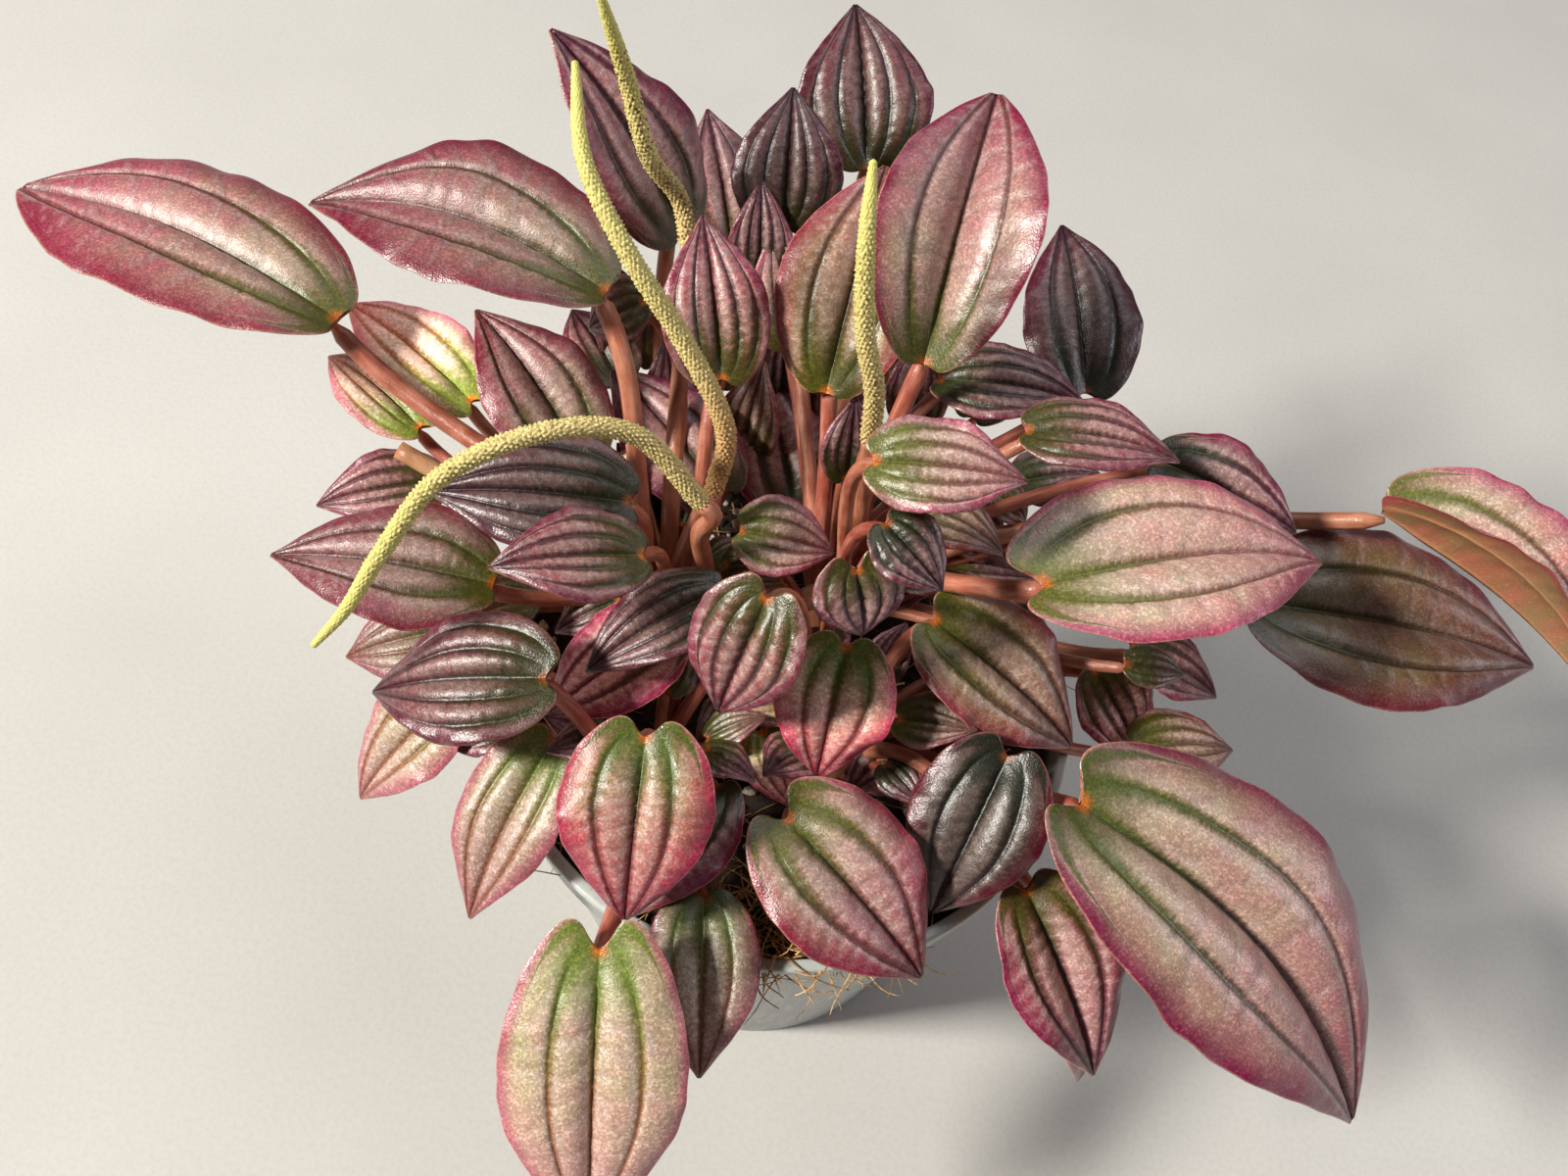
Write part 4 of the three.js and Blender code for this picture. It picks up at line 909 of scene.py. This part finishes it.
def upper_skin(name, near_foot, near_tip, rim, vein_foot, vein_tip, wax):
    """The waxy upper face: strips that turn from the foot's colour to the tip's, a fine grain with painted
    sparkle, combed vein bands, a dark rim and a green and salmon insertion, with painted sheen and
    highlights on the strips and painted shade in the quilting's creases."""
    material, shader, place = new_material(name)
    parts = add_node("SeparateXYZ", {"Vector": stored(place, "blade", "Vector")})
    along, vein, edge = (parts.outputs[k] for k in range(3))
    skin_way = add_node("UVMap", {}, tree=place.id_data).outputs[0]
    mottle = noise(place, 7, detail=3)
    grain = noise(place, 0.5, detail=3, rough=0.65)
    pebble = pebbles(place, 0.34)
    fleck = add_node("SeparateXYZ", {"Vector": pebble["Color"]}).outputs["X"]

    # the strips, a painted sheen that lightens the inner strips, and the crimson that comes in from the rim
    off_mean = add(mottle, -0.5)
    strips = mix(ease(add(along, off_mean), 0.0, 0.8), near_foot, near_tip)
    strips = over(strips, near_tip, mottle, 0.4, 0.75, 0, 0.25)
    strips = over(strips, "bc9f96", edge, 0.35, 0.9, 0, 0.25)
    strips = over(strips, rim, along, 0.6, 1.0, 0, 0.6)
    rim_share = add(edge, times(off_mean, 0.2))
    strips = over(strips, rim, rim_share, -0.02, 0.42, 0.95, 0)

    # a silvery painted highlight beside each vein; in the quilting, dark creases that are partly the darker
    # side veins and partly painted shade, and a painted highlight tick beside each
    painted_vein_highlight = times(ease(vein, 0.8, 1.3), ease(vein, 1.5, 3.2, 0.3, 0))
    strips = mix(painted_vein_highlight, strips, "b4a89c")
    strips = over(strips, near_tip, grain, 0.5, 0.8, 0, 0.3)
    strips = mix(times(stored(place, "crease"), 0.5), strips, vein_tip)
    strips = mix(times(stored(place, "painted_tick_highlight"), 0.55), strips, "b8a6a4")

    # the veins, with edges combed along the blade
    comb_way = add_node("Mapping", {"Vector": skin_way, "Scale": (0.35, 1.3, 1)}).outputs[0]
    comb = noise(comb_way, 1, detail=4, unit=1)
    band_share = add(vein, times(add(comb, -0.5), 1.6))
    faded = ease(along, 0.3, 0.9, 1.0, 0.65)
    band = over(vein_foot, vein_tip, along, 0.1, 0.55)
    skin = mix(times(ease(band_share, 0.2, 1.4, 0.95, 0), faded), strips, band)
    core = over(vein_foot, vein_tip, along, 0.1, 0.6)
    skin = mix(times(ease(vein, 0.05, 0.3, 0.75, 0), faded), skin, core)

    # the foot, the pale edge, and the light and dark of the grain, whose brightest flecks are a painted
    # sparkle, all times the leaf's tone, which is partly painted light and shade
    insertion = stored(place, "insertion")
    skin = over(skin, vein_foot, insertion, 0.8, 4.0, 0.75, 0)
    skin = over(skin, "b87048", insertion, 0.1, 0.7, 0.9, 0)
    skin = over(skin, "c89a88", edge, 0.0, 0.025, 0.5, 0)
    grain_and_painted_sparkle = times(ease(fleck, 0.5, 1.0, 0.88, 1.4), ease(grain, 0.3, 0.72, 0.78, 1.2))
    grain_tone_and_painted_light = times(grain_and_painted_sparkle, stored(place, "own"))
    toned = add_node("HueSaturation", {"Color": skin, "Value": grain_tone_and_painted_light, "Saturation": 1.14})
    leather = noise(place, 2.2, detail=4)
    fill_sockets(shader, {
        "Base Color": toned.outputs[0],
        "Roughness": add(ease(rim_share, 0.02, 0.25, -0.08, 0), ease(grain, 0.3, 0.8, 0.36, 0.54)),
        "Specular IOR Level": 0.55,
        "Coat Weight": wax,
        "Coat Roughness": 0.3,
        "Normal": relief(pebble["Distance"], 0.045, relief(leather, 0.12)),
        "Coat Normal": relief(noise(place, 0.6), 0.08, relief(leather, 0.22)),
    })
    return material


under_skin, shader, place = new_material("under_skin")
parts = add_node("SeparateXYZ", {"Vector": stored(place, "blade", "Vector")})
mottle = noise(place, 6, detail=4)
grain = noise(place, 0.5)
flesh = over("a9634c", "8d7046", mottle, 0.3, 0.7)
flesh = over(flesh, "c88a64", parts.outputs[1], 0.1, 0.9, 0.75, 0)
flesh = over(flesh, "8e2f3c", parts.outputs[2], 0.02, 0.22, 0.8, 0)
fill_sockets(shader, {
    "Base Color": over(flesh, "d8a488", grain, 0.5, 0.8, 0, 0.3),
    "Roughness": ease(grain, 0.3, 0.7, 0.45, 0.6),
    "Normal": relief(grain, 0.05, relief(mottle, 0.3)),
})

skins = {name: upper_skin(name + "_skin", *colours) for name, colours in SKINS.items()}
for number, leaf in enumerate(LEAVES, start=1):
    blade = make_piece(f"blade_{number:02d}", [blade_sheet(leaf, number)], [skins[leaf[6]], under_skin])
    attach(blade, "root")
    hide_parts(f"leaf_{number:02d}")

kinds = list(SKINS)
for key in CROWNS:
    sheets = []
    for number, leaf in enumerate(YOUNG, start=101):
        if leaf[0] == key:
            sheet = blade_sheet(leaf, number)
            sheet["tags"] = np.where(sheet["tags"] == 0, kinds.index(leaf[6]), len(kinds))
            sheets.append(sheet)
    cluster = make_piece("young_leaves_" + key, sheets, [*skins.values(), under_skin])
    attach(cluster, "root")

# ---- Crowns ------------------------------------------------------------------------------
# Four short thick stems stand down into the soil. Round juicy petioles grow from them, bow outwards and
# carry the blades from beneath, beside the flower stalks and two cut stubs.

STEM_PROFILE = [(2, 70), (5.5, 70), (5.2, 80), (5.5, 88), (5.5, 94), (3.3, 98), (1, 98.6)]
STEM_ROUNDING = 1.0
STEM_SIDES = 32
STEM_AGE = 0.7
SHOULDER = 94
# A petiole: how far from the stem's axis it starts, how far past the blade's foot it ends and
# beneath the blade, how level and upward it sets off and comes in, and how far each end pulls
# the curve, as a share of the way between them.
PETIOLE_OFFSET = 2.5
PETIOLE_LANDING = 1.5
PETIOLE_SINK = (0.35, 1.7)
SET_OFF = {"level": 0.5, "up": 0.85}
COME_IN = {"level": 0.75, "up": 0.65}
PULL = 0.35
BOW_CARRIED_ON = 0.4
PETIOLE_SIDES = 12
STALK_RADII = (1.7, 1.5)
STALK_AGE = 0.45
STUB_RADII = (1.9, 1.7)
STALK_SIDES = 16

# Each flower spike: its crown, the points its stalk passes, and the points it passes itself.
SPIKES = [
    ("a", [(-22, 11, 108), (-19, 14, 121)],
     [(-17, 14, 128), (-16, 17, 140), (-24, 22, 154), (-33, 26, 166), (-41, 34, 175), (-45, 47, 182)]),
    ("a", [(-17, 9, 108), (-18, 7, 126)],
     [(-18, 7, 134), (-29, 9, 146), (-41, 4, 150), (-55, -5, 147), (-62, -15, 140), (-67, -21, 132),
      (-72, -25, 126)]),
    ("b", [(8, 21, 116), (7, 22, 132)],
     [(7, 22, 138), (6, 22, 150), (3, 24, 160), (1, 29, 172), (0, 36, 182)]),
    ("a", [(-25, 21, 119), (-27, 42, 131)],
     [(-28, 55, 138), (-31, 60, 147), (-36, 58, 157), (-40, 60, 170), (-44, 59, 186)]),
]
# Petioles that were cut short: their crown and the point where each ends.
STUBS = [("a", (-34, 27, 118)), ("a", (-75, 24, 112))]


def petiole_path(crown, leaf, steps=30):
    """A cubic curve that leaves the stem upwards and outwards and comes in under the blade."""
    _, foot, tip, _, roll, _, _, extras = leaf
    foot = np.array(foot, float)
    _, along, _, face = directions(foot, tip, roll)
    stem = np.array([*crown, SHOULDER], float)
    away = unit((foot - stem) * (1, 1, 0))
    start = stem + away * PETIOLE_OFFSET
    level_share = COME_IN["level"] - 0.8 * max(0, -along[2])
    arrive = unit(level_share * unit(away + along * (1, 1, 0)) + COME_IN["up"] * face)
    sink = PETIOLE_SINK[0] + PETIOLE_SINK[1] * math.sqrt(1 - (arrive @ face) ** 2)
    end = foot + along * PETIOLE_LANDING - face * sink
    pull = PULL * np.linalg.norm(end - start)
    bow = np.array(extras.get("bow", (0, 0, 0)), float)
    first = start + (SET_OFF["level"] * away + np.array([0, 0, SET_OFF["up"]])) * pull + bow
    second = end - arrive * pull + BOW_CARRIED_ON * bow
    t = np.linspace(0, 1, steps + 1)[:, None]
    return start * (1 - t) ** 3 + 3 * first * t * (1 - t) ** 2 + 3 * second * t ** 2 * (1 - t) + end * t ** 3


def petiole_radius(t, width):
    """Thicker on a wide blade, thickest at the stem, swollen a little under the blade, and
    drawn to a round end."""
    radius = (0.8 + 0.026 * width) * (1.25 - 0.25 * np.minimum(1, 2 * t) + 0.12 * passage(t, 0.93, 1))
    return radius * np.sqrt(np.clip((1 - t) / 0.04, 0.12, 1))


def through(points, count):
    """A smooth curve through points, as count points at equal steps: cubic pieces whose slopes
    come from three neighbours, timed by the square root of the distance between them."""
    points = np.array(points, float)
    line = np.vstack([2 * points[0] - points[1], points, 2 * points[-1] - points[-2]])
    gap = np.sqrt(np.linalg.norm(np.diff(line, axis=0), axis=1))[:, None]
    pace = np.diff(line, axis=0) / gap
    slope = pace[:-1] - (line[2:] - line[:-2]) / (gap[:-1] + gap[1:]) + pace[1:]
    t = np.linspace(0, 1, 24, endpoint=False)[None, :, None]
    begin, end = points[:-1, None], points[1:, None]
    leave, come = (slope[:-1] * gap[1:-1])[:, None], (slope[1:] * gap[1:-1])[:, None]
    curve = (begin * (2 * t ** 3 - 3 * t ** 2 + 1) + leave * (t ** 3 - 2 * t ** 2 + t)
             + end * (3 * t ** 2 - 2 * t ** 3) + come * (t ** 3 - t ** 2))
    dense = np.vstack([curve.reshape(-1, 3), points[-1:]])
    way = travelled(dense)
    even = np.linspace(0, way[-1], count)
    return np.stack([np.interp(even, way, dense[:, k]) for k in range(3)], axis=-1)


petiole_skin, shader, place = new_material("petiole_skin")
skin_way = add_node("UVMap", {}, tree=place.id_data).outputs[0]
fibre_way = add_node("Mapping", {"Vector": skin_way, "Scale": (9, 0.16, 1)}).outputs[0]
fibres_in = noise(fibre_way, 1, detail=3, unit=1)
mottle = noise(place, 5, detail=3)
grain = noise(place, 0.4)
fresh = over("88362a", "a8564a", mottle, 0.3, 0.7)
dry = over("a06c48", "bd9068", mottle, 0.3, 0.7)
flesh = mix(stored(place, "age"), fresh, dry)
flesh = over(flesh, "dda488", fibres_in, 0.4, 0.75, 0, 0.4)
fill_sockets(shader, {
    "Base Color": over(flesh, "7c3020", grain, 0.58, 0.8, 0, 0.35),
    "Roughness": ease(grain, 0.3, 0.7, 0.32, 0.5),
    "Subsurface Weight": 0.15,
    "Subsurface Radius": (1.0, 0.4, 0.25),
    "Subsurface Scale": 1.5 * MM,
    "Normal": relief(grain, 0.06, relief(fibres_in, 0.2)),
})

draw = np.random.default_rng(61)
for key, crown in CROWNS.items():
    stem = turned(rounded(STEM_PROFILE, STEM_ROUNDING), STEM_SIDES)
    stem["points"] = stem["points"] + (*crown, 0)
    stem["values"] = {"age": np.full(stem["points"].shape[:2], STEM_AGE)}
    rods = [stem]
    for leaf in LEAVES + YOUNG:
        if leaf[0] == key:
            path = petiole_path(crown, leaf)
            radius = petiole_radius(np.linspace(0, 1, len(path)), leaf[3])
            rods.append(rod(path, radius, PETIOLE_SIDES, draw.uniform(0, 0.5)))
    base = (*crown, SHOULDER)
    for owner, route, spike in SPIKES:
        if owner == key:
            line = unit(np.subtract(spike[1], spike[0]).astype(float))
            seat = [np.array(spike[0]) - line * drop for drop in (3, 0.1)]
            path = through([base, *route, *seat], 40)
            rods.append(rod(path, np.linspace(*STALK_RADII, len(path)), STALK_SIDES, STALK_AGE))
    for owner, end in STUBS:
        if owner == key:
            path = through([base, end], 24)
            rods.append(rod(path, np.linspace(*STUB_RADII, len(path)), STALK_SIDES, 1.0))
    piece = make_piece("petioles_" + key, rods, [petiole_skin])
    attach(piece, "root")
    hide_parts("crown_" + key)

# ---- Flower spikes -----------------------------------------------------------------------
# Slim tails of tiny flowers packed in staggered rows, yellow-green and smooth at the growing
# tip, studded with brown dots further down. Each stands on the end of its stalk.

SPIKE_RADIUS = 1.6
SPIKE_TIP = 0.5
SPIKE_SIDES = 56
SPIKE_STEP = 0.2
BUD_PITCH = 0.72
BUDS_ROUND = 13
BUD_HEIGHT = 0.5
BUD_SINK = 0.18
# How far up each spike the dots reach, how brown they are, and how tan its foot is.
SPIKE_AGES = [(0.35, 0.8, 1.0), (0.85, 0.5, 0.1), (0.9, 0.6, 0.2), (0.95, 1.0, 0.3)]


def spike_sheet(points, dots_to, brown, tan):
    """A tapering tail. Its radius is a smooth taper plus buds: a product of cosines round and
    along, so that every second row is set over by half a bud. Slow noise shifts the rows and
    makes the buds uneven, and a quarter ellipse rounds the tip."""
    length = np.linalg.norm(np.diff(points, axis=0), axis=1).sum()
    rows = int(length / SPIKE_STEP)
    path = through(points, rows)
    t = np.linspace(0, 1, rows)[:, None]
    angle = np.linspace(0, 2 * np.pi, SPIKE_SIDES, endpoint=False)[None, :]
    along, round_it = length * t + 0 * angle, 2 * angle
    row = length * t / BUD_PITCH + 0.16 * rolling(along, round_it, 2.0, 71)
    turn = BUDS_ROUND * angle + 0.5 * rolling(along, round_it, 1.7, 72)
    own = 0.8 + 0.35 * rolling(along, round_it, 0.8, 73)
    bud = np.clip(np.cos(turn) * np.cos(np.pi * row), 0, 1) * np.clip(own, 0.2, 1.3)
    taper = SPIKE_RADIUS + (SPIKE_TIP - SPIKE_RADIUS) * (0.25 * t ** 2 + 0.75 * t ** 7)
    left = np.clip((1 - t) * length / taper, 0, 1)
    rounding = np.maximum(np.sqrt(left * (2 - left)), 0.05)
    studs = (BUD_HEIGHT * bud - BUD_SINK) * (1 - 0.75 * passage(t, 0.55, 1))
    sheet = sections(path, (taper + studs) * rounding, SPIKE_SIDES)
    sheet["values"] = {
        "bud": bud,
        "brown": (1 - passage(t, dots_to - 0.25, dots_to)) * brown + 0 * angle,
        "tan": (1 - passage(t, 0.05, 0.45)) * tan + 0 * angle,
        "climb": t + 0 * angle,
    }
    return sheet


spike_skin, shader, place = new_material("spike_skin")
climb = stored(place, "climb")
grain = noise(place, 0.25)
green = over("dccb90", "cfd074", climb, 0.3, 1.0)
# darker between the buds: painted shade in the pits between them
green = mix(stored(place, "bud"), mix(0.5, green, "c6b266"), green)
green = mix(times(stored(place, "tan"), 0.8), green, "c08a58")
dots = ease(pebbles(place, 0.85)["Distance"], 0.26, 0.42, 1, 0)
dots = times(dots, ease(noise(place, 0.8), 0.35, 0.5))
dotted = mix(times(stored(place, "brown"), dots), green, "70401f")
knobs = add(1.0, pebbles(place, 0.62)["Distance"], "SUBTRACT")
knobs = times(knobs, ease(climb, 0.75, 0.97, 1, 0.3))
fill_sockets(shader, {
    "Base Color": over(dotted, "e4dfa8", grain, 0.5, 0.8, 0, 0.3),
    "Roughness": ease(grain, 0.3, 0.7, 0.45, 0.65),
    "Subsurface Weight": 0.15,
    "Subsurface Radius": (0.8, 0.9, 0.3),
    "Subsurface Scale": 1.0 * MM,
    "Normal": relief(grain, 0.08, relief(knobs, 0.3)),
})

for number, ((_, _, points), ages) in enumerate(zip(SPIKES, SPIKE_AGES), start=1):
    spike = make_piece(f"flower_spike_{number}", [spike_sheet(points, *ages)], [spike_skin])
    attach(spike, "root")
    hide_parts(f"spike_{number}")
